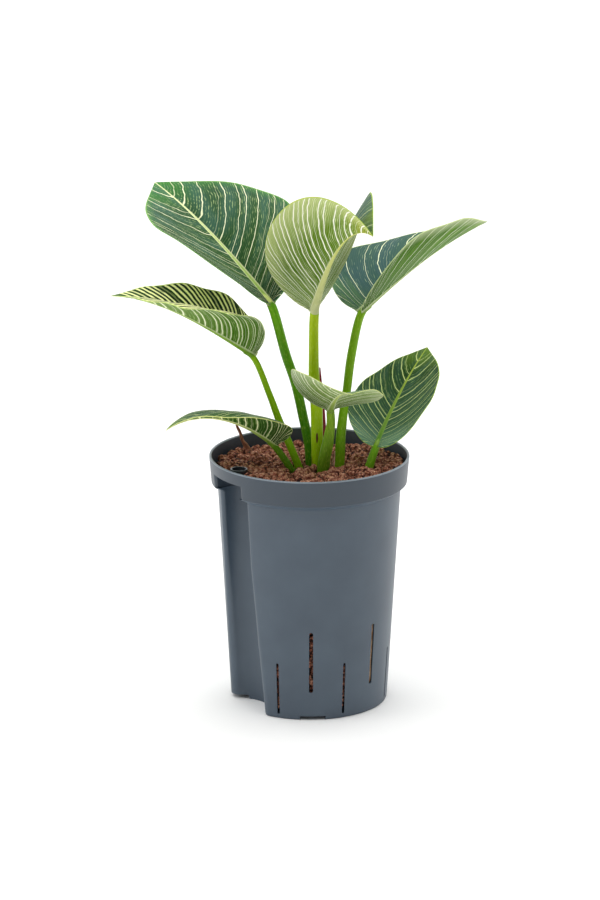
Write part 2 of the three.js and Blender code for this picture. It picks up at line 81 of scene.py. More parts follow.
class Recipe:
    """A material, or a world, in the making: its shader, and short methods that add nodes."""

    def __init__(self, name: str, world: Optional[bpy.types.World] = None) -> None:
        """Start a material with a Principled shader, or take up a world's background.

        Args:
            name: the material's name.
            world: the world to work on in place of a material.
        """
        self.material = world or bpy.data.materials.new(name)
        self.material.use_nodes = True
        self.tree = self.material.node_tree
        self.shader = self.tree.nodes["Background" if world else "Principled BSDF"]

    def add(self, kind: str, inputs: Optional[dict[Any, Any]] = None, output: int | str = 0,
            stops: Optional[Sequence[tuple[float, str]]] = None,
            **settings: Any) -> Socket:
        """Add one node with its settings and links.

        Args:
            kind: node type without its ShaderNode prefix.
            inputs: socket name or number to a value, or to the output that feeds it.
            output: which output is wanted.
            stops: places and sRGB hex colours of a colour ramp.
            settings: the node's own properties.

        Returns:
            The wanted output socket.
        """
        node = self.tree.nodes.new("ShaderNode" + kind)
        for name, value in settings.items():
            setattr(node, name, value)
        for key, value in (inputs or {}).items():
            if isinstance(value, Socket):
                self.tree.links.new(value, node.inputs[key])
            else:
                node.inputs[key].default_value = value
        if stops:
            elements = node.color_ramp.elements
            while len(elements) < len(stops):
                elements.new(1.0)
            for element, (place, colour) in zip(elements, stops):
                element.position = place
                element.color = linear(colour)
        return node.outputs[output]

    def feed(self, **inputs: Any) -> None:
        """Set the shader's sockets by name, with _ for a space: a value or an output to link.

        Args:
            inputs: the sockets.
        """
        for key, value in inputs.items():
            socket = self.shader.inputs[key.replace("_", " ")]
            if isinstance(value, Socket):
                self.tree.links.new(value, socket)
            else:
                socket.default_value = value

    def bump(self, height: Socket, depth_mm: float, strength: float = 1.0) -> None:
        """Give the surface a relief of depth_mm from a height of 0 to 1.

        Args:
            height: the height.
            depth_mm: the relief's depth.
            strength: how much of it shows.
        """
        relief = self.add("Bump", {"Strength": strength, "Distance": depth_mm * MM,
                                   "Height": height})
        self.feed(Normal=relief)

    def calc(self, operation: str, *terms: Any) -> Socket:
        """Add a Math node whose terms are values or outputs."""
        return self.add("Math", dict(enumerate(terms)), operation=operation)

    def span(self, value: Socket, low: Any, high: Any, start: float = 0.0,
             end: float = 1.0) -> Socket:
        """Map low to high onto start to end, held level beyond them."""
        return self.add("MapRange", {0: value, 1: low, 2: high, 3: start, 4: end})

    def comb(self, count: Socket) -> Socket:
        """Fold a running number: 1 at each whole number, 0 halfway between two."""
        part = self.calc("FRACT", count)
        return self.calc("ABSOLUTE", self.calc("MULTIPLY_ADD", part, 2.0, -1.0))

    def noise(self, place: Socket, scale: float, detail: float) -> Socket:
        """Add noise with a number of cells per unit of a place."""
        return self.add("TexNoise", {"Vector": place, "Scale": scale, "Detail": detail})

    def streaks(self, cells: tuple[float, float], detail: float) -> Socket:
        """Add noise drawn out along a piece.

        Args:
            cells: cells per decimetre across it and along it.
            detail: how many finer layers of noise lie on it.

        Returns:
            The noise.
        """
        plan = self.add("UVMap", uv_map="plan")
        place = self.add("Mapping", {"Vector": plan, "Scale": (*cells, 1.0)})
        return self.noise(place, 1.0, detail)

    def over(self, under: Socket, colour: str | Socket, mask: Socket) -> Socket:
        """Lay a colour, a hex value or an output, over another through a mask."""
        top = linear(colour) if isinstance(colour, str) else colour
        return self.add("Mix", {0: mask, MIX_A: under, MIX_B: top}, MIX_OUT, data_type="RGBA")


# Mesh helpers

def select_only(piece: bpy.types.Object) -> None:
    """Deselect everything, then select one object and make it active.

    Args:
        piece: the object.
    """
    bpy.ops.object.select_all(action="DESELECT")
    piece.select_set(True)
    bpy.context.view_layer.objects.active = piece


def read_points(mesh: bpy.types.Mesh) -> Points:
    """Read a mesh's points, in metres.

    Args:
        mesh: the mesh.

    Returns:
        One row of x, y and z for each point.
    """
    points = np.empty(len(mesh.vertices) * 3)
    mesh.vertices.foreach_get("co", points)
    return points.reshape(-1, 3)


def write_points(mesh: bpy.types.Mesh, points: Points) -> None:
    """Write a mesh's points, in metres."""
    mesh.vertices.foreach_set("co", np.ascontiguousarray(points, dtype=np.float32).ravel())
    mesh.update()


def set_uv(mesh: bpy.types.Mesh, name: str, per_point: Points) -> None:
    """Write a UV map from one pair of numbers for each point.

    Args:
        mesh: the mesh.
        name: the map's name.
        per_point: the pairs.
    """
    layer = mesh.uv_layers.get(name) or mesh.uv_layers.new(name=name)
    corners = np.empty(len(mesh.loops), dtype=np.int32)
    mesh.loops.foreach_get("vertex_index", corners)
    layer.data.foreach_set("uv", per_point[corners].astype(np.float32).ravel())


def set_number(mesh: bpy.types.Mesh, name: str, values: Points) -> None:
    """Write one number for each point as an attribute."""
    attribute = mesh.attributes.new(name, "FLOAT", "POINT")
    attribute.data.foreach_set("value", values.astype(np.float32))


def get_number(mesh: bpy.types.Mesh, name: str) -> Points:
    """Read an attribute of one number for each point.

    Args:
        mesh: the mesh.
        name: the attribute's name.

    Returns:
        The numbers.
    """
    values = np.empty(len(mesh.vertices), dtype=np.float32)
    mesh.attributes[name].data.foreach_get("value", values)
    return values


def add_object(operator: Callable[..., Any], **settings: Any) -> bpy.types.Object:
    """Run an operator that adds an object, and give that object.

    Args:
        operator: the operator.
        settings: its settings.

    Returns:
        The new object, active and selected alone.
    """
    bpy.ops.object.select_all(action="DESELECT")
    operator(**settings)
    return bpy.context.object


def turned(points: Points, angle: float) -> Points:
    """Turn points round the upright axis by an angle in radians.

    Args:
        points: one row of x, y and z for each point.
        angle: the angle.

    Returns:
        The turned points.
    """
    cos, sin = math.cos(angle), math.sin(angle)
    x, y, z = points.T
    return np.stack([x * cos - y * sin, x * sin + y * cos, z], -1)


def lay_grid(name: str, columns: int, rows: int,
             place: Callable[[Points, Points], Points]) -> tuple[bpy.types.Object, Points]:
    """Add a grid primitive and lay its points on a surface.

    Args:
        name: the new object's name.
        columns: faces along the first share.
        rows: faces along the second share.
        place: turns the two shares, each 0 to 1, into points in millimetres.

    Returns:
        The object at the origin, and the two shares of each point.
    """
    piece = add_object(bpy.ops.mesh.primitive_grid_add, x_subdivisions=columns,
                       y_subdivisions=rows, size=2.0)
    piece.name = name
    shares = (read_points(piece.data)[:, :2] + 1.0) / 2.0
    write_points(piece.data, place(shares[:, 0], shares[:, 1]) * MM)
    piece.data.uv_layers[0].name = "vein"
    return piece, shares


def merge_points(piece: bpy.types.Object, reach: float = 1e-6, outward: bool = False) -> None:
    """Close a piece's seams and poles.

    Args:
        piece: the object.
        reach: points this close become one, in metres.
        outward: whether its faces are turned outwards too, which a closed piece allows.
    """
    select_only(piece)
    bpy.ops.object.mode_set(mode="EDIT")
    bpy.ops.mesh.select_all(action="SELECT")
    bpy.ops.mesh.remove_doubles(threshold=reach)
    if outward:
        bpy.ops.mesh.normals_make_consistent(inside=False)
    bpy.ops.object.mode_set(mode="OBJECT")


def close_ends(piece: bpy.types.Object) -> None:
    """Fill a tube's open ends with one face each.

    Args:
        piece: the tube.
    """
    select_only(piece)
    bpy.ops.object.mode_set(mode="EDIT")
    bpy.ops.mesh.select_all(action="DESELECT")
    bpy.ops.mesh.select_mode(type="EDGE")
    bpy.ops.mesh.select_non_manifold()
    bpy.ops.mesh.edge_face_add()
    bpy.ops.mesh.select_mode(type="VERT")
    bpy.ops.mesh.select_all(action="SELECT")
    bpy.ops.mesh.normals_make_consistent(inside=False)
    bpy.ops.object.mode_set(mode="OBJECT")


def join(pieces: Sequence[bpy.types.Object], name: str) -> bpy.types.Object:
    """Join objects into the first and name it.

    Args:
        pieces: the objects.
        name: the new name.

    Returns:
        The joined object.
    """
    select_only(pieces[0])
    for piece in pieces:
        piece.select_set(True)
    bpy.ops.object.join()
    pieces[0].name = name
    return pieces[0]


def apply_modifier(piece: bpy.types.Object, kind: str, **settings: Any) -> None:
    """Add a modifier with its settings and apply it.

    Args:
        piece: the object.
        kind: the modifier's type.
        settings: its settings.
    """
    select_only(piece)
    modifier = piece.modifiers.new(kind.lower(), kind)
    for key, value in settings.items():
        setattr(modifier, key, value)
    bpy.ops.object.modifier_apply(modifier=modifier.name)


def shade_smooth(piece: bpy.types.Object, degrees: float = 60.0) -> None:
    """Shade smooth across edges flatter than an angle."""
    select_only(piece)
    bpy.ops.object.shade_smooth_by_angle(angle=math.radians(degrees))


# Curves

class SmoothPath:
    """A smooth curve through [x, y, z, radius] points, in millimetres."""

    SAMPLES = 400
    # Sine of the angle to the upright below which a sideways direction is taken instead
    UPRIGHT = 0.1

    def __init__(self, points: Sequence[RadiusPoint]) -> None:
        """Sample the curve and measure its length.

        Args:
            points: points the curve passes through, with its radius at each.
        """
        given = np.array(points, dtype=float)
        self.points = given
        ends = [2 * given[0] - given[1], 2 * given[-1] - given[-2]]
        knots = np.vstack([ends[0], given, ends[1]])[:, :3]
        spans = len(given) - 1
        place = np.linspace(0.0, spans, self.SAMPLES)
        index = np.minimum(place.astype(int), spans - 1)
        share = (place - index)[:, None]
        p0, p1, p2, p3 = (knots[index + k] for k in range(4))
        gap0, gap1, gap2 = (np.sqrt(np.linalg.norm(b - a, axis=1))[:, None]
                            for a, b in ((p0, p1), (p1, p2), (p2, p3)))
        leave = ((p1 - p0) / gap0 - (p2 - p0) / (gap0 + gap1) + (p2 - p1) / gap1) * gap1
        reach = ((p2 - p1) / gap1 - (p3 - p1) / (gap1 + gap2) + (p3 - p2) / gap2) * gap1
        self.places = (p1 + leave * share + (3 * p2 - 3 * p1 - 2 * leave - reach) * share ** 2
                       + (2 * p1 - 2 * p2 + leave + reach) * share ** 3)
        self.radii = np.interp(place, np.arange(spans + 1), given[:, 3])
        steps = np.linalg.norm(np.diff(self.places, axis=0), axis=1)
        self.run = np.concatenate([[0.0], np.cumsum(steps)])
        self.length = float(self.run[-1])

    def at(self, share: Points) -> tuple[Points, Points]:
        """Give the points and radii at shares of the length.

        Args:
            share: shares of the length.

        Returns:
            The points and the radii, in millimetres.
        """
        run = share * self.length
        centre = np.stack([np.interp(run, self.run, self.places[:, k]) for k in range(3)], -1)
        return centre, np.interp(run, self.run, self.radii)

    def frames(self, count: int) -> tuple[Points, Points, Points]:
        """Carry two cross directions along the curve without twist.

        Args:
            count: number of steps.

        Returns:
            The points' run shares and the two directions at each.
        """
        shares = np.linspace(0.0, 1.0, count + 1)
        centre, _ = self.at(shares)
        forward = np.gradient(centre, axis=0)
        forward /= np.linalg.norm(forward, axis=1)[:, None]
        first = np.cross(forward[0], [0.0, 0.0, 1.0])
        if np.linalg.norm(first) < self.UPRIGHT:
            first = np.cross(forward[0], [1.0, 0.0, 0.0])
        sides = []
        for ahead in forward:
            first = first - ahead * np.dot(first, ahead)
            first /= np.linalg.norm(first)
            sides.append(first.copy())
        side = np.array(sides)
        return shares, side, np.cross(forward, side)


def tube(name: str, path: SmoothPath, around: int, along: int,
         swell: Optional[Callable[[Points, Points], Points]] = None) -> bpy.types.Object:
    """Model a round stalk or root along a path, closed at both ends.

    Args:
        name: the new object's name.
        path: the centre line with its radii.
        around: faces round it.
        along: faces along it.
        swell: factor on the radius for an angle in radians and a share of the length.

    Returns:
        The object, with a "vein" UV map (share round, share along) and a "plan" one.
    """
    shares, side, other = path.frames(along)

    def place(turn: Points, run: Points) -> Points:
        """Lay the tube's wall round the path.

        Args:
            turn: shares of a turn.
            run: shares of the length.

        Returns:
            The points.
        """
        centre, radius = path.at(run)
        a = turn * 2 * np.pi
        first = np.stack([np.interp(run, shares, side[:, k]) for k in range(3)], -1)
        second = np.stack([np.interp(run, shares, other[:, k]) for k in range(3)], -1)
        if swell is not None:
            radius = radius * swell(a, run)
        return centre + (first * np.cos(a)[:, None] + second * np.sin(a)[:, None]) * radius[:, None]

    piece, grid = lay_grid(name, around, along, place)
    set_uv(piece.data, "vein", grid)
    _, radius = path.at(grid[:, 1])
    plan = np.stack([grid[:, 0] * 2 * np.pi * radius, grid[:, 1] * path.length], -1) / PLAN_MM
    set_uv(piece.data, "plan", plan)
    merge_points(piece)
    close_ends(piece)
    return piece


# Finishes

@dataclass(frozen=True)
class BladeSide:
    """One side of a blade: a waxy leaf skin with cream stripes along its side veins.

    The eye gets a soft gloss, a fine quilting between the veins, a few strong cream stripes,
    and rows of short pale dashes between them where the leaf's two tissues mix. ground runs
    from joint to tip. stripes and faint are shares of the veins, width is in vein steps. dash,
    fine, dash_along and dash_cut are the strength of the dashes, that of the fine veins between
    them, how short they are and how sharply they end. margin tints the outer part, from
    margin_from on. rib_width is in millimetres at the joint and at the tip.
    """

    ground: tuple[str, str, str, str]
    # Colour of long patches of painted sheen and shade: a bluish grey reflection of the light on
    # the upper sides, lighter and darker greens on the undersides
    sheen_and_shade: str
    stripe: str
    rib: tuple[str, str]
    edge: str
    veins: float = 34.0
    stripes: float = 0.22
    faint: float = 0.25
    width: float = 0.15
    fine_lines: float = 2.0
    fine: float = 0.2
    dash: float = 0.7
    dash_tone: str = "#a4c07c"
    dash_along: float = 9.0
    dash_cut: tuple[float, float] = (0.5, 0.6)
    margin: str = ""
    margin_from: float = 0.7
    sheen_and_shade_share: float = 0.6
    rib_width: tuple[float, float] = (3.4, 0.45)
    rib_edge: float = 0.5
    rib_taper: float = 1.4
    quilt_mm: float = 0.2

    # Where the four ground colours stand between joint and tip
    GROUND_PLACES = (0.02, 0.16, 0.72, 0.97)
    # Unevenness of the veins, in veins, and its noise cells per decimetre
    KINK = 0.8
    KINK_CELLS = 7.0
    # Keeps the two halves' veins from being alike
    HALF_SHIFT = 53.0
    # Golden section: spreads the strong veins evenly
    EVEN_DRAW = 0.618034
    # Noise drawn out along the veins: cells per vein, cells from midrib to margin, layer
    BREAK_NOISE = (5.3, 4.0, 0.0)
    CROWD_NOISE = (0.9, 2.0, 8.0)
    SHEEN_AND_SHADE_NOISE = (0.5, 1.6, 12.0)
    DASH_LAYER = 4.0
    DASH_ACROSS = 1.4
    # Stretches of noise over which a stripe breaks, dashes crowd and the painted sheen and shade
    # set in
    BREAKS = (0.24, 0.34)
    CROWD = (0.38, 0.62)
    SHEEN_AND_SHADE_SPAN = (0.4, 0.65)
    SPARSE_DASH = 0.35
    # Width of a faint stripe, and of the full part of a stripe, as shares
    FAINT_WIDTH = 0.3
    STRIPE_CORE = 0.55
    # Soft flank of a fine vein, and how far dashes stand out of the quilting
    FINE_FLANK = (0.15, 0.55)
    DASH_RELIEF = 0.3
    MARGIN_SHARE = 0.85
    EDGE_WIDTH = 0.02
    EDGE_CORE = 0.6
    # Place of the rib's outer colour, its pale sides and its own outline, in half widths
    RIB_PLACE = 0.8
    RIB_SIDE = (0.35, 0.8)
    RIB_LINE = (0.8, 1.05)
    ROUGHNESS = 0.42
    GLOSS = 0.03

    def material(self, name: str, length: float) -> bpy.types.Material:
        """Build the material from the blade's vein and plan maps.

        Args:
            name: the material's name.
            length: the blade's length in millimetres.

        Returns:
            The material.
        """
        r = Recipe(name)
        plan = r.add("UVMap", uv_map="plan")
        vein = r.add("SeparateXYZ", {0: r.add("UVMap", uv_map="vein")})
        flat = r.add("SeparateXYZ", {0: plan})
        signed = r.calc("MULTIPLY_ADD", vein, 2.0, -1.0)
        v = r.calc("ABSOLUTE", signed)
        share = r.calc("MULTIPLY", flat.node.outputs["Y"], PLAN_MM / length)

        kink = r.calc("MULTIPLY", r.noise(plan, self.KINK_CELLS, 2.0), self.KINK)
        count = r.calc("MULTIPLY_ADD", vein.node.outputs["Y"], self.veins, kink)
        half = r.calc("GREATER_THAN", signed, 0.0)
        count = r.calc("MULTIPLY_ADD", half, self.HALF_SHIFT, count)
        off = r.comb(count)

        dash = self.dashes(r, count, v)
        colour = self.green(r, share, count, v)
        colour = r.over(colour, self.dash_tone, dash)
        colour = r.over(colour, self.stripe, self.striping(r, count, off, v))
        line = r.span(v, 1 - self.EDGE_WIDTH, 1 - self.EDGE_WIDTH * self.EDGE_CORE)
        colour = r.over(colour, self.edge, line)
        colour = self.midrib(r, colour, flat, share)
        r.bump(r.calc("MULTIPLY_ADD", dash, self.DASH_RELIEF, off), self.quilt_mm)
        r.feed(Base_Color=colour, Roughness=self.ROUGHNESS, IOR=WAX_IOR,
               Specular_IOR_Level=self.GLOSS)
        return r.material

    def striping(self, r: Recipe, count: Socket, off: Socket, v: Socket) -> Socket:
        """Mask the stripes: evenly spread strong veins, fainter ones beside them, and breaks.

        Args:
            r: the recipe.
            count: running number of the veins.
            off: its comb.
            v: share from the midrib to the margin.

        Returns:
            The mask.
        """
        cell = r.calc("FLOOR", count)
        draw = r.calc("FRACT", r.calc("MULTIPLY", cell, self.EVEN_DRAW))
        strong = r.span(draw, 1 - self.stripes - self.faint, 1 - self.stripes)
        gaps = r.span(self.drawn_out(r, cell, v, *self.BREAK_NOISE), *self.BREAKS)
        width = r.calc("MULTIPLY_ADD", strong, self.width * (1 - self.FAINT_WIDTH),
                       self.width * self.FAINT_WIDTH)
        stripe = r.span(off, r.calc("MULTIPLY", width, self.STRIPE_CORE), width, 1.0, 0.0)
        return r.calc("MULTIPLY", r.calc("MULTIPLY", stripe, strong), gaps)

    def dashes(self, r: Recipe, count: Socket, v: Socket) -> Socket:
        """Mask the fine veins, broken into dashes that crowd in some stretches.

        Args:
            r: the recipe that takes the nodes.
            count: running number of the veins.
            v: share from the midrib to the margin.

        Returns:
            The mask.
        """
        fine = r.comb(r.calc("MULTIPLY", count, self.fine_lines))
        dash = r.span(fine, *self.FINE_FLANK, self.dash, 0.0)
        drawn = self.drawn_out(r, count, v, self.fine_lines * self.DASH_ACROSS, self.dash_along,
                               self.DASH_LAYER)
        drawn = r.span(drawn, *self.dash_cut, self.fine, 1.0)
        crowd = self.drawn_out(r, count, v, *self.CROWD_NOISE)
        crowd = r.span(crowd, *self.CROWD, self.SPARSE_DASH, 1.0)
        return r.calc("MULTIPLY", r.calc("MULTIPLY", dash, drawn), crowd)

    def green(self, r: Recipe, share: Socket, count: Socket, v: Socket) -> Socket:
        """Colour the ground from joint to tip, with long patches of painted sheen and shade and
        a paler margin.

        Args:
            r: the recipe.
            share: share of the blade's length.
            count: running number of the veins.
            v: share from the midrib to the margin.

        Returns:
            The colour.
        """
        stops = tuple(zip(self.GROUND_PLACES, self.ground))
        # Long patches of painted sheen and shade
        sheen_and_shade_patch = self.drawn_out(r, count, v, *self.SHEEN_AND_SHADE_NOISE)
        sheen_and_shade_patch = r.span(sheen_and_shade_patch, *self.SHEEN_AND_SHADE_SPAN, 0.0, self.sheen_and_shade_share)
        colour = r.over(r.add("ValToRGB", {0: share}, stops=stops), self.sheen_and_shade, sheen_and_shade_patch)
        if self.margin:
            rim = r.span(v, self.margin_from, 1.0, 0.0, self.MARGIN_SHARE)
            colour = r.over(colour, self.margin, rim)
        return colour

    def midrib(self, r: Recipe, colour: Socket, flat: Socket, share: Socket) -> Socket:
        """Lay the midrib over a colour: it thins towards the tip and has paler sides.

        Args:
            r: the recipe.
            colour: the colour beside it.
            flat: distance across the blade, in decimetres.
            share: share of the blade's length.

        Returns:
            The colour with the midrib on it.
        """
        rest = r.calc("POWER", r.span(share, 0.0, 1.0, 1.0, 0.0), self.rib_taper)
        thick, thin = (width / PLAN_MM for width in self.rib_width)
        half = r.calc("MULTIPLY_ADD", rest, thick - thin, thin)
        beside = r.calc("DIVIDE", r.calc("ABSOLUTE", flat), half)
        stops = ((0.0, self.rib[0]), (self.RIB_PLACE, self.rib[1]))
        tone = r.add("ValToRGB", {0: share}, stops=stops)
        tone = r.over(tone, self.stripe, r.span(beside, *self.RIB_SIDE, 0.0, self.rib_edge))
        return r.over(colour, tone, r.span(beside, *self.RIB_LINE, 1.0, 0.0))

    @staticmethod
    def drawn_out(r: Recipe, across: Socket, run: Socket, pace: float, run_pace: float,
                  layer: float) -> Socket:
        """Add noise that is drawn out along the side veins.

        Args:
            r: the recipe.
            across: position across the veins.
            run: position along a vein.
            pace: noise cells per unit across.
            run_pace: noise cells per unit along.
            layer: number that keeps layers of noise apart.

        Returns:
            The noise.
        """
        place = r.add("CombineXYZ", {0: r.calc("MULTIPLY", across, pace),
                                     1: r.calc("MULTIPLY", run, run_pace), 2: layer})
        return r.noise(place, 1.0, 1.0)


@dataclass(frozen=True)
class StalkSkin:
    """Smooth waxy skin of a stalk: a juicy green with fine pale flecks drawn out along it, and
    dark red scars where a sheath has split. The high colour turns to the darker low one along
    the run; on a leaf's stalk that is painted shade towards its foot under the leaves. A scar
    is x, y, z, half width and half length, in millimetres."""

    name: str
    low: str
    high: str
    fleck: str = "#b9cc5a"
    scars: tuple[tuple[float, float, float, float, float], ...] = ()
    rib: str = ""
    joint: float = 0.0

    SCAR = "#5a1420"
    # Places of the paler high colour and the darker low one along the run: painted light above,
    # painted shade towards the foot of a leaf's stalk
    LIT_HIGH_PLACE = 0.15
    SHADED_LOW_PLACE = 0.75
    FLECK_CELLS = (150.0, 28.0)
    FLECKS = (0.56, 0.68, 0.0, 0.3)
    BAND_CELLS = (45.0, 3.0)
    BANDS = (0.4, 0.65, 0.0, 0.6)
    # The joint's ring: half its width in shares of the length, and how strong it is
    JOINT_HALF = 0.004
    JOINT_SHARE = 0.6
    SCAR_EDGE = 0.8
    RELIEF_MM = 0.05
    ROUGHNESS = 0.36
    GLOSS = 0.14

    def material(self) -> bpy.types.Material:
        """Build the material from the stalk's maps, and its scars in object space.

        Returns:
            The material.
        """
        r = Recipe(self.name)
        run = r.add("SeparateXYZ", {0: r.add("UVMap", uv_map="vein")}, "Y")
        # Painted shade: the darker low colour towards a leaf stalk's foot
        stops = ((self.LIT_HIGH_PLACE, self.high), (self.SHADED_LOW_PLACE, self.low))
        colour = r.add("ValToRGB", {0: run}, stops=stops)
        fleck = r.span(r.streaks(self.FLECK_CELLS, 1.0), *self.FLECKS)
        band = r.span(r.streaks(self.BAND_CELLS, 2.0), *self.BANDS)
        colour = r.over(r.over(colour, self.low, band), self.fleck, fleck)
        if self.rib:
            beyond = r.span(run, self.joint - self.JOINT_HALF, self.joint, 1.0, 0.0)
            ring = r.calc("COMPARE", run, self.joint, self.JOINT_HALF)
            ring = r.calc("MULTIPLY", ring, self.JOINT_SHARE)
            colour = r.over(r.over(colour, self.rib, beyond), self.low, ring)
        place = r.add("TexCoord", output="Object")
        for x, y, z, half_width, half_length in self.scars:
            sizes = (1 / (half_width * MM), 1 / (half_width * MM), 1 / (half_length * MM))
            near = r.add("VectorMath", {0: place, 1: (x * MM, y * MM, z * MM)},
                         operation="SUBTRACT")
            near = r.add("VectorMath", {0: near, 1: sizes}, operation="MULTIPLY")
            near = r.add("VectorMath", {0: near}, "Value", operation="LENGTH")
            colour = r.over(colour, self.SCAR, r.span(near, self.SCAR_EDGE, 1.0, 1.0, 0.0))
        r.bump(fleck, self.RELIEF_MM)
        r.feed(Base_Color=colour, Roughness=self.ROUGHNESS, IOR=WAX_IOR,
               Specular_IOR_Level=self.GLOSS)
        return r.material


@dataclass(frozen=True)
class MouldedPlastic:
    """Matt polypropylene as it comes from a spark-eroded mould: an even slate grey with a
    barely seen grain that breaks up its broad soft gloss. Above two levels it takes painted
    shade on the rim band, where the leaves overhang it, and a painted highlight on the top edge."""

    name: str = "moulded_polypropylene"
    colour: str = "#3f4d5b"
    pale: str = "#465563"
    # Painted shade on the rim band, where the leaves overhang it
    band: str = "#2b3743"
    # Painted highlight along the top edge
    edge: str = "#8b97a2"
    shade_and_highlight_levels_mm: tuple[float, float] = (169.9, 188.8)
    roughness: float = 0.42

    CLOUD_CELLS = 30.0
    CLOUDS = (0.3, 0.7)
    SHADE_AND_HIGHLIGHT_SHARE = 0.8
    SHADE_AND_HIGHLIGHT_STEP_MM = 0.4
    GRAIN_MM = 0.5
    GRAIN_DEPTH_MM = 0.03
    GRAIN_STRENGTH = 0.6
    IOR = 1.49
    GLOSS = 0.62

    def material(self) -> bpy.types.Material:
        """Build the material in object space.

        Returns:
            The material.
        """
        r = Recipe(self.name)
        place = r.add("TexCoord", output="Object")
        cloud = r.span(r.noise(place, self.CLOUD_CELLS, 3.0), *self.CLOUDS)
        colour = r.add("ValToRGB", {0: cloud}, stops=((0.0, self.colour), (1.0, self.pale)))
        height = r.add("SeparateXYZ", {0: place}, "Z")
        # Painted shade above the first level, and a painted highlight above the second
        for level, tone in zip(self.shade_and_highlight_levels_mm, (self.band, self.edge)):
            above = r.span(height, level * MM, (level + self.SHADE_AND_HIGHLIGHT_STEP_MM) * MM, 0.0,
                           self.SHADE_AND_HIGHLIGHT_SHARE)
            colour = r.over(colour, tone, above)
        grain = r.noise(place, 1 / (self.GRAIN_MM * MM), 2.0)
        r.bump(grain, self.GRAIN_DEPTH_MM, self.GRAIN_STRENGTH)
        r.feed(Base_Color=colour, Roughness=self.roughness, IOR=self.IOR,
               Specular_IOR_Level=self.GLOSS)
        return r.material


@dataclass(frozen=True)
class FiredClay:
    """Expanded clay as it leaves the kiln: a dull red-brown skin in blistered knobs, with
    painted shade in its hollows and a painted highlight of pale orange on its bumps."""

    name: str = "expanded_clay"
    # Colour of the pores, and painted shade in the hollows and on the core
    dark: str = "#361a11"
    mid: str = "#9c5c46"
    # Painted highlight on the bumps
    light: str = "#dca68a"

    # Noise cells per metre of the knobs, their uneven outlines and the pores
    KNOB_CELLS = 440.0
    BEND_CELLS = 500.0
    PORE_CELLS = 1100.0
    BEND_MM = 1.6
    KNOBS = (0.1, 0.75, 1.0, 0.0)
    # Shares of pores, knobs and each lump's own tone in the colour, and its offset; the knobs
    #     lay a painted highlight on the bumps and painted shade between them
    PORE_TONE = 0.3
    KNOB_LIGHT_AND_SHADE = 0.75
    LUMP_TONE = 0.35
    DARKEN = -0.2
    PLACES = (0.06, 0.36, 0.85)
    PORE_RELIEF = 0.15
    RELIEF_MM = 1.3
    ROUGHNESS = 0.85
    GLOSS = 0.3

    def material(self) -> bpy.types.Material:
        """Build the material in object space, toned lump by lump.

        Returns:
            The material.
        """
        r = Recipe(self.name)
        place = r.add("TexCoord", output="Object")
        tone = r.add("Attribute", output="Fac", attribute_name="tone")
        bent = r.add("TexNoise", {"Vector": place, "Scale": self.BEND_CELLS, "Detail": 2.0},
                     "Color")
        bent = r.add("VectorMath", {0: bent, 1: (self.BEND_MM * MM,) * 3, 2: place},
                     operation="MULTIPLY_ADD")
        knob = r.add("TexVoronoi", {"Vector": bent, "Scale": self.KNOB_CELLS}, "Distance")
        knob = r.span(knob, *self.KNOBS)
        pores = r.noise(place, self.PORE_CELLS, 2.0)
        mixed = r.calc("MULTIPLY_ADD", pores, self.PORE_TONE, self.DARKEN)
        # Knobs: painted highlight on the bumps, painted shade between them
        mixed = r.calc("MULTIPLY_ADD", knob, self.KNOB_LIGHT_AND_SHADE, mixed)
        mixed = r.calc("MULTIPLY_ADD", tone, self.LUMP_TONE, mixed)
        stops = tuple(zip(self.PLACES, (self.dark, self.mid, self.light)))
        colour = r.add("ValToRGB", {0: mixed}, stops=stops)
        r.bump(r.calc("MULTIPLY_ADD", pores, self.PORE_RELIEF, knob), self.RELIEF_MM)
        r.feed(Base_Color=colour, Roughness=self.ROUGHNESS, Specular_IOR_Level=self.GLOSS)
        return r.material


@dataclass(frozen=True)
class DryFibre:
    """Dead plant fibre: streaked along its length, with a dull papery surface."""

    name: str
    dark: str
    light: str
    roughness: float = 0.75

    CELLS = (110.0, 22.0)
    DARK_PLACE = 0.35
    LIGHT_PLACE = 0.65
    RELIEF_MM = 0.3

    def material(self) -> bpy.types.Material:
        """Build the material from the piece's maps.

        Returns:
            The material.
        """
        r = Recipe(self.name)
        streak = r.streaks(self.CELLS, 4.0)
        stops = ((self.DARK_PLACE, self.dark), (self.LIGHT_PLACE, self.light))
        colour = r.add("ValToRGB", {0: streak}, stops=stops)
        r.bump(streak, self.RELIEF_MM)
        r.feed(Base_Color=colour, Roughness=self.roughness)
        return r.material


@dataclass(frozen=True)
class RootBark:
    """Bark of the living roots: pale tan with darker scales and a rough, dull skin."""

    name: str = "living_root_bark"
    dark: str = "#cf9468"
    light: str = "#f6d2aa"

    CELLS = 260.0
    DARK_PLACE = 0.3
    LIGHT_PLACE = 0.7
    RELIEF_MM = 0.3
    ROUGHNESS = 0.6

    def material(self) -> bpy.types.Material:
        """Build the material in object space.

        Returns:
            The material.
        """
        r = Recipe(self.name)
        scales = r.noise(r.add("TexCoord", output="Object"), self.CELLS, 3.0)
        stops = ((self.DARK_PLACE, self.dark), (self.LIGHT_PLACE, self.light))
        colour = r.add("ValToRGB", {0: scales}, stops=stops)
        r.bump(scales, self.RELIEF_MM)
        r.feed(Base_Color=colour, Roughness=self.ROUGHNESS)
        return r.material


# Leaves

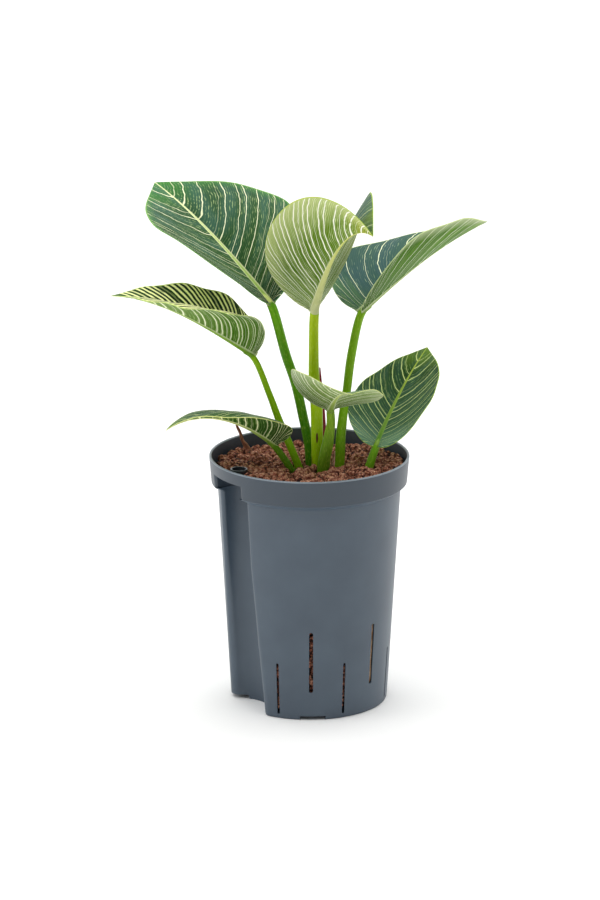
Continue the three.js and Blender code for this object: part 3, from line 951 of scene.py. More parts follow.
@dataclass(frozen=True)
class BladeShape:
    """Place and form of one blade: millimetres and degrees.

    heading and rise aim it at its joint, sway and droop turn it by the tip, bend tells how
    late. roll turns it about its midrib. fold lifts each half (at joint, at tip) and curl
    bends it on towards the margin.
    """

    joint: tuple[float, float, float]
    length: float
    right: float
    left: float
    heading: float
    rise: float
    sway: float
    droop: float
    bend: float
    roll: float
    twist: float
    fold_right: tuple[float, float]
    curl_right: float
    fold_left: tuple[float, float]
    curl_left: float
    lobe: float
    waves: float
    wave: float

    # Half the outline, joint to apex: along in lengths, across in half widths, and the share
    # of the basal lobe's reach at each point
    HALF_OUTLINE = ((0, 0), (0, 0.13), (0.012, 0.33), (0.045, 0.58), (0.11, 0.82), (0.21, 0.965),
                    (0.34, 1), (0.5, 0.91), (0.67, 0.71), (0.81, 0.46), (0.91, 0.23),
                    (0.965, 0.09), (1, 0))
    LOBE_REACH = (0, 0.55, 1, 0.95, 0.6, 0.25, 0.05, 0, 0, 0, 0, 0, 0)
    SLIMNESS = 0.36
    STATIONS = 121
    # Exponents of the side veins: how late they leave the midrib, arch forward and spread
    ROOT_LAG = 3.0
    FORWARD = 1.6
    SPREAD = 1.3
    DENSITY = 60

    def margin(self, u: Points) -> Points:
        """Give the outline's (along, across) shares at shares of the margin's length.

        Args:
            u: shares along the margin from joint to apex.

        Returns:
            One (along, across) pair for each.
        """
        outline = np.array(self.HALF_OUTLINE, dtype=float)
        outline[:, 0] -= self.lobe * np.array(self.LOBE_REACH)
        outline[:, 1] *= self.SLIMNESS
        spans = len(outline) - 1
        place = np.linspace(0.0, spans, self.DENSITY * spans + 1)
        i = np.minimum(place.astype(int), spans - 1)
        t = (place - i)[:, None]
        p0, p1 = outline[np.maximum(i - 1, 0)], outline[i]
        p2, p3 = outline[i + 1], outline[np.minimum(i + 2, spans)]
        leave, reach = (p2 - p0) / 2, (p3 - p1) / 2
        dense = ((2 * p1 - 2 * p2 + leave + reach) * t ** 3
                 + (-3 * p1 + 3 * p2 - 2 * leave - reach) * t ** 2 + leave * t + p1)
        run = np.concatenate([[0.0], np.cumsum(np.linalg.norm(np.diff(dense, axis=0), axis=1))])
        run /= run[-1]
        return np.stack([np.interp(u, run, dense[:, k]) for k in range(2)], -1)

    def stations(self) -> tuple[Points, Points, Points, Points]:
        """Give points, forward, up and right along the midrib.

        Returns:
            The points in millimetres and the three directions at each.
        """
        t = np.linspace(0.0, 1.0, self.STATIONS)
        h = np.radians(self.heading + self.sway * t ** self.bend)
        r = np.radians(self.rise - self.droop * t ** self.bend)
        forward = np.stack([np.cos(r) * np.cos(h), np.cos(r) * np.sin(h), np.sin(r)], -1)
        level = np.stack([-np.sin(r) * np.cos(h), -np.sin(r) * np.sin(h), np.cos(r)], -1)
        turn = np.radians(self.roll + self.twist * t)[:, None]
        up = level * np.cos(turn) + np.cross(forward, level) * np.sin(turn)
        step = self.length / (self.STATIONS - 1)
        moves = (forward[1:] + forward[:-1]) / 2 * step
        points = np.array(self.joint) + np.concatenate([[[0, 0, 0]], np.cumsum(moves, axis=0)])
        return points, forward, up, np.cross(forward, up)

    def flat_plan(self, u: Points, v: Points, side: Points) -> tuple[Points, Points]:
        """Give along and across of a point in the blade's flat plan, in millimetres.

        A side vein, of constant u, leaves the midrib steeply and arches on towards the apex.

        Args:
            u: share along the margin from joint to apex.
            v: share from the midrib to the margin along a vein.
            side: 1 right of the midrib, -1 left.

        Returns:
            Along and across.
        """
        margin = self.margin(u)
        root = u ** self.ROOT_LAG
        along = self.length * (root + (margin[:, 0] - root) * v ** self.FORWARD)
        half = np.where(side > 0, self.right, self.left)
        return along, half * margin[:, 1] * (1 - (1 - v) ** self.SPREAD) / self.SLIMNESS

    def lay(self, u: Points, v: Points, side: Points) -> Points:
        """Give the points of the blade's middle surface, in millimetres.

        Args:
            u: share along the margin from joint to apex.
            v: share from the midrib to the margin along a vein.
            side: 1 right of the midrib, -1 left.

        Returns:
            The points.
        """
        along, across = self.flat_plan(u, v, side)
        points, forward, up, right = self.stations()
        within = np.clip(along, 0.0, self.length)
        place = within / self.length * (self.STATIONS - 1)
        i = np.minimum(place.astype(int), self.STATIONS - 2)
        f = (place - i)[:, None]
        centre = points[i] * (1 - f) + points[i + 1] * f + forward[i] * (along - within)[:, None]
        lift = up[i] * (1 - f) + up[i + 1] * f
        aside = right[i] * (1 - f) + right[i + 1] * f
        share = within / self.length
        is_right = side > 0
        fold_joint = np.where(is_right, self.fold_right[0], self.fold_left[0])
        fold_tip = np.where(is_right, self.fold_right[1], self.fold_left[1])
        fold = np.radians(fold_joint + (fold_tip - fold_joint) * share)
        curl = np.radians(np.where(is_right, self.curl_right, self.curl_left))
        half = np.where(is_right, self.right, self.left)
        turn = curl * across / half / 2
        chord = across * np.sinc(turn / np.pi)
        wave = self.wave * v ** 3 * np.sin(2 * np.pi * self.waves * u) * np.sin(np.pi * u)
        return (centre + aside * (side * chord * np.cos(fold + turn))[:, None]
                + lift * (chord * np.sin(fold + turn) + wave)[:, None])


@dataclass(frozen=True)
class Leaf:
    """One leaf: blade with its keeled midrib, and the stalk it grows from."""

    name: str
    shape: BladeShape
    stalk: tuple[RadiusPoint, ...]
    upper: BladeSide
    under: BladeSide
    skin: StalkSkin

    THICKNESS = 0.45
    ROWS = 130
    HALF_COLUMNS = 24
    COLUMN_BIAS = 1.5
    JOINT_SHARE = 0.92
    ELBOW_DROP = 0.4
    TIP_REACH = 0.07
    TIP_SHARE = 0.55
    TIP_DROP = 0.5
    # Keel: height at the joint in stalk radii and how it tapers, width and how it narrows
    KEEL_SHARE = 0.8
    KEEL_TAPER = 2.2
    KEEL_LEAST = 0.35
    KEEL_WIDTH = 0.75
    KEEL_NARROWING = 1.2
    GROOVE = 0.4
    # Stalk: faces round and along it, depth and turn of the flat on it
    STALK_FACES = (20, 70)
    FLAT = 0.07
    FLAT_TURN = 0.6

    def build(self) -> bpy.types.Object:
        """Model and dress the leaf as one piece in place of its solid.

        Returns:
            The dressed leaf.
        """
        leaf = join([self.blade(), self.stalk_tube()], self.name.replace("leaf_", "dressed_"))
        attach(leaf, "root")
        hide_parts(self.name)
        return leaf

    def blade(self) -> bpy.types.Object:
        """Model the blade: a thin sheet with a rounded keel below its midrib.

        Returns:
            The blade.
        """
        shape = self.shape

        def shares(x: Points, y: Points) -> tuple[Points, Points, Points]:
            """Turn the grid's shares into u, v and side, finer near the midrib."""
            signed = 2 * x - 1
            return y, np.abs(signed) ** self.COLUMN_BIAS, np.where(signed >= 0, 1.0, -1.0)

        blade, grid = lay_grid(self.name + "_blade", 2 * self.HALF_COLUMNS, self.ROWS,
                               lambda x, y: shape.lay(*shares(x, y)))
        u, v, side = shares(grid[:, 0], grid[:, 1])
        along, across = shape.flat_plan(u, v, side)
        set_uv(blade.data, "vein", np.stack([0.5 + side * v / 2, u], -1))
        set_uv(blade.data, "plan", np.stack([side * across, along], -1) / PLAN_MM)
        set_number(blade.data, "across", across)
        set_number(blade.data, "share", along / shape.length)
        merge_points(blade)
        for side_name, finish in (("upper", self.upper), ("under", self.under)):
            blade.data.materials.append(
                finish.material(f"{self.name}_{side_name}", shape.length))
        sheet_points = len(blade.data.vertices)
        apply_modifier(blade, "SOLIDIFY", thickness=self.THICKNESS * MM, offset=0.0,
                       use_even_offset=False, material_offset=1, material_offset_rim=0)
        self.raise_keel(blade.data, sheet_points)
        shade_smooth(blade)
        return blade

    def raise_keel(self, mesh: bpy.types.Mesh, sheet_points: int) -> None:
        """Round the midrib out below and sink it a little above.

        Args:
            mesh: the thickened blade, its upper side's points first.
            sheet_points: how many points the upper side has.
        """
        share = np.clip(get_number(mesh, "share"), 0.0, 1.0)
        across = get_number(mesh, "across")
        normals = np.empty(len(mesh.vertices) * 3, dtype=np.float32)
        mesh.vertices.foreach_get("normal", normals)
        radius = self.stalk[0][3]
        width = (self.KEEL_LEAST
                 + self.KEEL_WIDTH * radius * (1 - share) ** self.KEEL_NARROWING)
        bell = np.exp(-(across / width) ** 2)
        keel = self.KEEL_SHARE * radius * (1 - share) ** self.KEEL_TAPER * bell
        groove = -self.GROOVE * (1 - share) * bell
        lower = np.arange(len(share)) >= sheet_points
        rise = np.where(lower, keel, groove) * MM
        write_points(mesh, read_points(mesh) + normals.reshape(-1, 3) * rise[:, None])
        for name in ("share", "across"):
            mesh.attributes.remove(mesh.attributes[name])

    def path(self) -> SmoothPath:
        """Give the stalk's path, from under the midrib round the elbow to the crown.

        Returns:
            The path.
        """
        points, _, up, _ = self.shape.stations()
        radius = self.JOINT_SHARE * self.stalk[0][3]
        i = round(self.TIP_REACH * (self.shape.STATIONS - 1))
        tip = points[i] - up[i] * self.TIP_DROP * radius
        elbow = points[0] - up[0] * self.ELBOW_DROP * radius
        return SmoothPath([(*tip, self.TIP_SHARE * radius), (*elbow, radius), *self.stalk])

    def stalk_tube(self) -> bpy.types.Object:
        """Model the stalk with the shallow flat that runs down its upper side.

        Returns:
            The stalk.
        """
        path = self.path()
        stalk = tube(self.name + "_stalk", path, *self.STALK_FACES, lambda angle, run:
                     1 - self.FLAT * np.cos(angle - self.FLAT_TURN) ** 2)
        joint = float(np.interp(1, np.linspace(0, len(path.points) - 1, path.SAMPLES), path.run))
        skin = replace(self.skin, rib=self.under.rib[0], joint=joint / path.length)
        stalk.data.materials.append(skin.material())
        shade_smooth(stalk)
        return stalk


# Small pieces

@dataclass(frozen=True)
class SmallPiece:
    """A rolled leaf, dry sheath or dead root, standing in the clay."""

    name: str
    points: tuple[RadiusPoint, ...]
    finish: Any
    slot: str
    knobs: float
    flatness: float = 0.0

    # Knobs: seed, number of waves, and the waves' pace along the piece
    SEED = 7
    WAVES = 6
    FIRST_PACE = 9
    PACE_STEP = 5
    FACES = (16, 48)

    def build(self) -> bpy.types.Object:
        """Model and dress the piece in place of its solid.

        Returns:
            The dressed piece.
        """
        draw = np.random.default_rng(self.SEED)
        phases = draw.uniform(0, 2 * np.pi, (self.WAVES, 2))

        def swell(angle: Points, run: Points) -> Points:
            """Vary the radius in knobs along and round the piece.

            Args:
                angle: angles round it in radians.
                run: shares of its length.

            Returns:
                Factors on the radius.
            """
            lumps = sum(np.sin((self.FIRST_PACE + self.PACE_STEP * k) * run + phases[k, 0])
                        * np.cos((k % 3) * angle + phases[k, 1]) for k in range(self.WAVES))
            flat = 1 - self.flatness * np.sin(angle) ** 2
            return (1 - self.knobs / 2 + self.knobs * lumps / self.WAVES) * flat

        piece = tube("dressed_" + self.name, SmoothPath(self.points), *self.FACES, swell)
        piece.data.materials.append(self.finish.material())
        shade_smooth(piece)
        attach(piece, "root")
        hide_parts(self.name)
        return piece


# Pot

@dataclass(frozen=True)
class GaugeChannel:
    """Upright channel for the water gauge, seen from above: a circle on the gauge's axis."""

    angle: float = math.radians(-148)
    distance: float = 61.5
    narrow: float = 17.5
    levels: tuple[float, ...] = (0, 58, 117)
    radii: tuple[float, ...] = (22.2, 18.7, 17.0)
    fillets: tuple[float, ...] = (7, 5, 2.6)

    def radius(self, z: float) -> float:
        """Give the recess's radius at a height: it widens towards the foot."""
        return float(np.interp(z, self.levels, self.radii))

    def fillet(self, z: float) -> float:
        """Give the rounding of the recess's outer corners at a height."""
        return float(np.interp(z, self.levels, self.fillets))

    def axis(self) -> tuple[float, float]:
        """Give the gauge axis's x and y in millimetres."""
        return self.distance * math.cos(self.angle), self.distance * math.sin(self.angle)


class Bite(Enum):
    """How the gauge channel cuts into the pot's round outline."""

    NONE = "none"
    ROUND = "round"
    STRAIGHT = "straight"


@dataclass(frozen=True)
class Ring:
    """One level outline of the pot's skin: millimetres."""

    radius: float
    z: float
    bite: Bite
    fillet: float = 2.5
    grow: float = 0.0


@dataclass(frozen=True)
class Pot:
    """The pot: one moulding with rim band, gauge recess, collar, slots and notched foot.

    Millimetres and degrees. A slot is its width, low end and high end, a notch its width,
    height and inner end.
    """

    height: float = 190.0
    rim: float = 75.0
    base: float = 59.0
    wall: float = 2.0
    floor: float = 4.2
    band_bottom: float = 170.0
    band_bottom_radius: float = 73.3
    body_top: float = 166.5
    body_top_radius: float = 68.6
    recess_top: float = 180.5
    shelf_top: float = 182.2
    collar: float = 6.4
    bore: float = 5.3
    collar_top: float = 188.0
    channel: GaugeChannel = GaugeChannel()
    slot_count: int = 13
    slot_pitch: float = 24.0
    first_slot: float = -112.8
    high_slot: tuple[float, float, float] = (3.0, 22.0, 70.0)
    low_slot: tuple[float, float, float] = (2.0, 3.5, 44.0)
    slot_wall: float = 0.8
    slot_relief: float = 2.6
    root_slot: int = 3
    notch: tuple[float, float, float] = (19.0, 3.0, 34.0)
    notch_angle: float = -87.5
    notches: int = 4
    plastic: MouldedPlastic = MouldedPlastic()
    # Darker finish of the collar and its bore, with a painted highlight on the collar's top above
    # its second level
    collar_finish: MouldedPlastic = MouldedPlastic(
        name="dark_collar_finish", colour="#191e23", pale="#20262b", band="#191e23",
        edge="#4b5258", shade_and_highlight_levels_mm=(170.0, 187.6), roughness=0.3)

    # Points of an outline: round the pot, in each corner, mouth side and round the channel
    ARC = 200
    CORNER = 8
    MOUTH = 12
    HOLLOW = 40
    # Share of the channel's round that belongs to a mouth side
    MOUTH_SHARE = 0.18
    # Rounding of the foot: radius from the foot's own, height, corner rounding
    FOOT = ((-1.2, 0.0, 6.4), (-0.35, 0.35, 6.8))
    BODY_LEVELS = (1.2, 3.0, 12.0, 22.0, 33.0, 44.0, 58.0, 72.0, 88.0, 103.0, 117.0, 140.0)
    BODY_END = 0.8
    # Ledge under the band: radius outwards from the body and share of the ledge's height
    LEDGE = (0.8, 0.25)
    # Band's lower edge: radius and height from the edge, corner rounding
    BAND_EDGE = ((-0.5, -0.5, 2.2), (-0.12, -0.15, 2.1), (0.0, 0.0, 2.0))
    # Band beside the open channel: radius and height from the edge
    BAND_FACE = ((0.01, 0.06), (0.06, 0.6), (0.6, 7.0))
    BAND_FILLET = 2.0
    BAND_LEAN = 0.85
    # Rim: radius from the rim, or from its inside, and height from the top
    RIM_OUTSIDE = ((-0.12, -2.0), (-0.05, -1.1), (-0.2, -0.45), (-0.6, -0.1), (-1.0, 0.0))
    RIM_INSIDE = ((0.6, -0.1), (0.2, -0.45), (0.0, -1.1))
    SHELF_LEAN = 0.6
    INNER_FILLET = 0.6
    # Inside of the ledge: radius from the body's and height
    INNER_LEDGE = ((0.7, 168.8, Bite.STRAIGHT), (-1.2, 167.3, Bite.STRAIGHT),
                   (-1.4, 166.9, Bite.ROUND), (-2.0, 164.5, Bite.ROUND))
    INNER_BAND = 170.5
    INNER_LEVELS = (140.0, 117.0, 88.0, 58.0, 44.0, 22.0)
    # Collar: depth in the shelf, edge rounding; bore: depth and middle
    COLLAR_ROOT = 0.8
    COLLAR_EDGE = 0.35
    BORE_DEPTH = 20.0
    BORE_MIDDLE = 185.0
    # How far a slot's cutter reaches inwards and outwards, and the relief's step at its foot
    CUT_REACH = 11.0
    RELIEF_STEP = 0.3
    ROUND_SIDES = 64
    SLOT_SIDES = 24
    # Sharp edges in degrees, and how far round the collar its own material reaches
    CREASE = 35.0
    BEVEL_CREASE = 60.0
    COLLAR_FOOT = 0.2
    # Closest points that stay apart, and what counts as level with the axis, in metres
    SEAM = 1e-7
    LEVEL = 1e-6

    def body_radius(self, z: float) -> float:
        """Give the body's outer radius at a height."""
        return self.base + (self.body_top_radius - self.base) * z / self.body_top

    def slots(self) -> list[tuple[float, tuple[float, float, float]]]:
        """List the drain slots' angles in radians and their sizes, in turn low and high."""
        return [(math.radians(self.first_slot + k * self.slot_pitch),
                 self.high_slot if k % 2 else self.low_slot) for k in range(self.slot_count)]

    def outline(self, ring: Ring) -> Points:
        """Give one ring's points, the same number for each kind of bite.

        Args:
            ring: the ring.

        Returns:
            x and y from one side of the channel round the pot and back through the channel.
        """
        gap = self.channel.distance
        radius, fillet = ring.radius, ring.fillet
        reach = radius - fillet
        if ring.bite is Bite.ROUND:
            hollow = self.channel.radius(ring.z) + ring.grow
            fx = (reach ** 2 - (hollow + fillet) ** 2 + gap ** 2) / (2 * gap)
            fy = math.sqrt(reach ** 2 - fx ** 2)
        else:
            hollow = self.channel.narrow + ring.grow
            fy = hollow + fillet
            fx = math.sqrt(reach ** 2 - fy ** 2)
        start = math.atan2(fy, fx)
        arc = np.linspace(start, 2 * np.pi - start, self.ARC)
        if ring.bite is Bite.NONE:
            bitten = 2 * self.CORNER + 2 * self.MOUTH + self.HOLLOW
            rest = self.circle(np.linspace(-start, start, bitten + 2)[1:-1], radius)
        else:
            rest = self.bite_path(ring.bite, fx, fy, hollow, fillet, start)
        return np.concatenate([self.circle(arc, radius), rest])

    @staticmethod
    def circle(angles: Points, radius: float, x: float = 0.0, y: float = 0.0) -> Points:
        """Give x and y on a circle."""
        return np.stack([x + radius * np.cos(angles), y + radius * np.sin(angles)], -1)

    def bite_path(self, bite: Bite, fx: float, fy: float, hollow: float, fillet: float,
                  start: float) -> Points:
        """Give the points from the far corner through the channel to the near one.

        Args:
            bite: round or straight.
            fx: x of the near corner's centre.
            fy: y of it.
            hollow: radius of the channel.
            fillet: radius of the corner.
            start: angle of the corner's centre.

        Returns:
            One row of x and y for each point.
        """
        gap = self.channel.distance
        if bite is Bite.ROUND:
            turn = math.atan2(-fy, gap - fx)
            touch = math.atan2(fy, fx - gap)
            mouth_end = touch + (2 * np.pi - 2 * touch) * self.MOUTH_SHARE
            mouth = self.circle(np.linspace(touch, mouth_end, self.MOUTH + 1)[1:], hollow, gap)
        else:
            turn = -math.pi / 2
            mouth_end = np.pi / 2
            x = np.linspace(fx, gap, self.MOUTH + 1)[1:]
            mouth = np.stack([x, np.full_like(x, hollow)], -1)
        inner = np.linspace(mouth_end, 2 * np.pi - mouth_end, self.HOLLOW + 2)[1:-1]
        corner = self.circle(np.linspace(start, turn, self.CORNER + 1)[1:], fillet, fx, fy)
        near = np.concatenate([corner, mouth])
        far = near * [1, -1]
        return np.concatenate([far, self.circle(inner, hollow, gap)[::-1], near[::-1]])

    def outer_rings(self) -> list[Ring]:
        """List the skin's rings from the foot up to the top of the rim.

        Returns:
            The rings.
        """
        top, edge, rise = self.body_top, self.band_bottom_radius, self.band_bottom
        rings = [Ring(self.base + out, z, Bite.ROUND, fillet) for out, z, fillet in self.FOOT]
        rings += [Ring(self.body_radius(z), z, Bite.ROUND, self.channel.fillet(z))
                  for z in (*self.BODY_LEVELS, top - self.BODY_END, top)]
        out, share = self.LEDGE
        rings.append(Ring(self.body_top_radius + out, top + share * (rise - top), Bite.ROUND))
        rings += [Ring(edge + out, rise + up, Bite.ROUND, fillet)
                  for out, up, fillet in self.BAND_EDGE]
        rings += [Ring(edge + out, rise + up, Bite.STRAIGHT, self.BAND_FILLET)
                  for out, up in self.BAND_FACE]
        rings += [Ring(edge + self.BAND_LEAN, self.recess_top, bite, self.BAND_FILLET)
                  for bite in (Bite.STRAIGHT, Bite.NONE)]
        return rings + [Ring(self.rim + out, self.height + up, Bite.NONE)
                        for out, up in self.RIM_OUTSIDE]

    def inner_rings(self) -> list[Ring]:
        """List the skin's rings from the rim down inside to the floor.

        Returns:
            The rings.
        """
        inside, wall, fillet = self.rim - self.wall, self.wall, self.INNER_FILLET
        rings = [Ring(inside + out, self.height + up, Bite.NONE) for out, up in self.RIM_INSIDE]
        rings += [Ring(inside - self.SHELF_LEAN, self.shelf_top, bite, fillet, wall)
                  for bite in (Bite.NONE, Bite.STRAIGHT)]
        rings.append(Ring(self.band_bottom_radius - wall, self.INNER_BAND, Bite.STRAIGHT, fillet,
                          wall))
        rings += [Ring(self.body_top_radius + out, z, bite, fillet, wall)
                  for out, z, bite in self.INNER_LEDGE]
        return rings + [Ring(self.body_radius(z) - wall, z, Bite.ROUND,
                             max(self.channel.fillet(z) - wall, fillet), wall)
                        for z in (*self.INNER_LEVELS, self.floor)]

    def build(self) -> bpy.types.Object:
        """Model and dress the pot in place of its solid.

        Returns:
            The dressed pot.
        """
        pot = self.shell()
        self.cut(pot, [self.collar_blank()], "UNION")
        self.cut(pot, self.slot_cutters(self.slot_relief, -self.slot_wall), "DIFFERENCE")
        self.cut(pot, self.slot_cutters(0.0, self.CUT_REACH) + self.cutters(), "DIFFERENCE")
        shade_smooth(pot, self.CREASE)
        pot.data.materials.clear()
        for finish in (self.plastic, self.collar_finish):
            pot.data.materials.append(finish.material())
        gauge_x, gauge_y = self.channel.axis()
        for face in pot.data.polygons:
            x, y, z = face.center / MM
            on_collar = math.hypot(x - gauge_x, y - gauge_y) < self.collar + self.COLLAR_FOOT
            face.material_index = int(on_collar and z > self.recess_top)
        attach(pot, "root")
        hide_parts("pot")
        return pot

    def shell(self) -> bpy.types.Object:
        """Loft the skin through its rings and close it below and on the floor.

        Returns:
            The closed shell.
        """
        rings = self.outer_rings() + self.inner_rings()
        outlines = np.array([self.outline(ring) for ring in rings])
        heights = np.array([ring.z for ring in rings])
        around, count = outlines.shape[1], len(rings)

        def place(x: Points, y: Points) -> Points:
            """Lay the grid's columns round the outlines and its rows up the rings.

            Args:
                x: shares round the outline.
                y: shares up the rings.

            Returns:
                The points in millimetres.
            """
            column = np.rint(x * around).astype(int) % around
            row = np.rint(y * (count - 1)).astype(int)
            return turned(np.column_stack([outlines[row, column], heights[row]]),
                          self.channel.angle)

        shell, _ = lay_grid("dressed_pot", around, count - 1, place)
        merge_points(shell, self.SEAM)
        close_ends(shell)
        return shell

    def collar_blank(self) -> bpy.types.Object:
        """Model the collar that guides the gauge, before it is bored.

        Returns:
            The blank.
        """
        x, y = self.channel.axis()
        low = self.shelf_top - self.COLLAR_ROOT
        blank = add_object(
            bpy.ops.mesh.primitive_cylinder_add, vertices=self.ROUND_SIDES,
            radius=self.collar * MM, depth=(self.collar_top - low) * MM,
            location=(x * MM, y * MM, (self.collar_top + low) / 2 * MM))
        apply_modifier(blank, "BEVEL", width=self.COLLAR_EDGE * MM, segments=2,
                       limit_method="ANGLE", angle_limit=math.radians(self.BEVEL_CREASE))
        return blank

    def cutters(self) -> list[bpy.types.Object]:
        """Model what else is cut out: the bore and the notches of the foot.

        Returns:
            The cutters.
        """
        x, y = self.channel.axis()
        tools = [add_object(
            bpy.ops.mesh.primitive_cylinder_add, vertices=self.ROUND_SIDES,
            radius=self.bore * MM, depth=self.BORE_DEPTH * MM,
            location=(x * MM, y * MM, self.BORE_MIDDLE * MM))]
        width, top, start = self.notch
        middle = (start + self.rim) / 2 * MM
        for k in range(self.notches):
            angle = math.radians(self.notch_angle + k * 360 / self.notches)
            tools.append(add_object(
                bpy.ops.mesh.primitive_cube_add, size=1.0, rotation=(0, 0, angle),
                location=(middle * math.cos(angle), middle * math.sin(angle), 0),
                scale=((self.rim - start) * MM, width * MM, 2 * top * MM)))
        return tools

    def slot_cutters(self, wider: float, end: float) -> list[bpy.types.Object]:
        """Model the cutters of all drain slots, from inside up to an end outside the wall.

        Args:
            wider: how much wider than the slots they are.
            end: their outer end, measured outwards from the wall's outside.

        Returns:
            The cutters.
        """
        lower = min(wider / 2, self.RELIEF_STEP)
        return [self.slot_cutter(angle, width + wider, low - lower, high + wider / 2, end)
                for angle, (width, low, high) in self.slots()]

    def slot_cutter(self, angle: float, width: float, low: float, high: float,
                    end: float) -> bpy.types.Object:
        """Model one slot's cutter: a lying cylinder with its lower half drawn down.

        Args:
            angle: where it stands round the pot, in radians.
            width: its width.
            low: its lower end's height.
            high: its upper end's height.
            end: its outer end, measured outwards from the wall's outside.

        Returns:
            The cutter.
        """
        start = -self.CUT_REACH
        cutter = add_object(bpy.ops.mesh.primitive_cylinder_add, vertices=self.SLOT_SIDES,
                            radius=width / 2 * MM, depth=(end - start) * MM,
                            rotation=(0, math.pi / 2, 0))
        bpy.ops.object.transform_apply(location=False, rotation=True, scale=False)
        points = read_points(cutter.data)
        is_low = points[:, 2] < self.LEVEL
        points[:, 2] += np.where(is_low, low + width / 2, high - width / 2) * MM
        lean = (self.body_top_radius - self.base) / self.body_top
        points[:, 0] += (self.base + (start + end) / 2) * MM + lean * points[:, 2]
        write_points(cutter.data, turned(points, angle))
        return cutter

    @staticmethod
    def cut(body: bpy.types.Object, tools: Sequence[bpy.types.Object], operation: str) -> None:
        """Join the tools, cut them out of the body or fuse them to it, and drop them.

        Args:
            body: the object that is cut.
            tools: the tools.
            operation: DIFFERENCE or UNION.
        """
        tool = join(tools, "tool") if len(tools) > 1 else tools[0]
        apply_modifier(body, "BOOLEAN", object=tool, operation=operation, solver="EXACT")
        bpy.data.objects.remove(tool)


# Clay

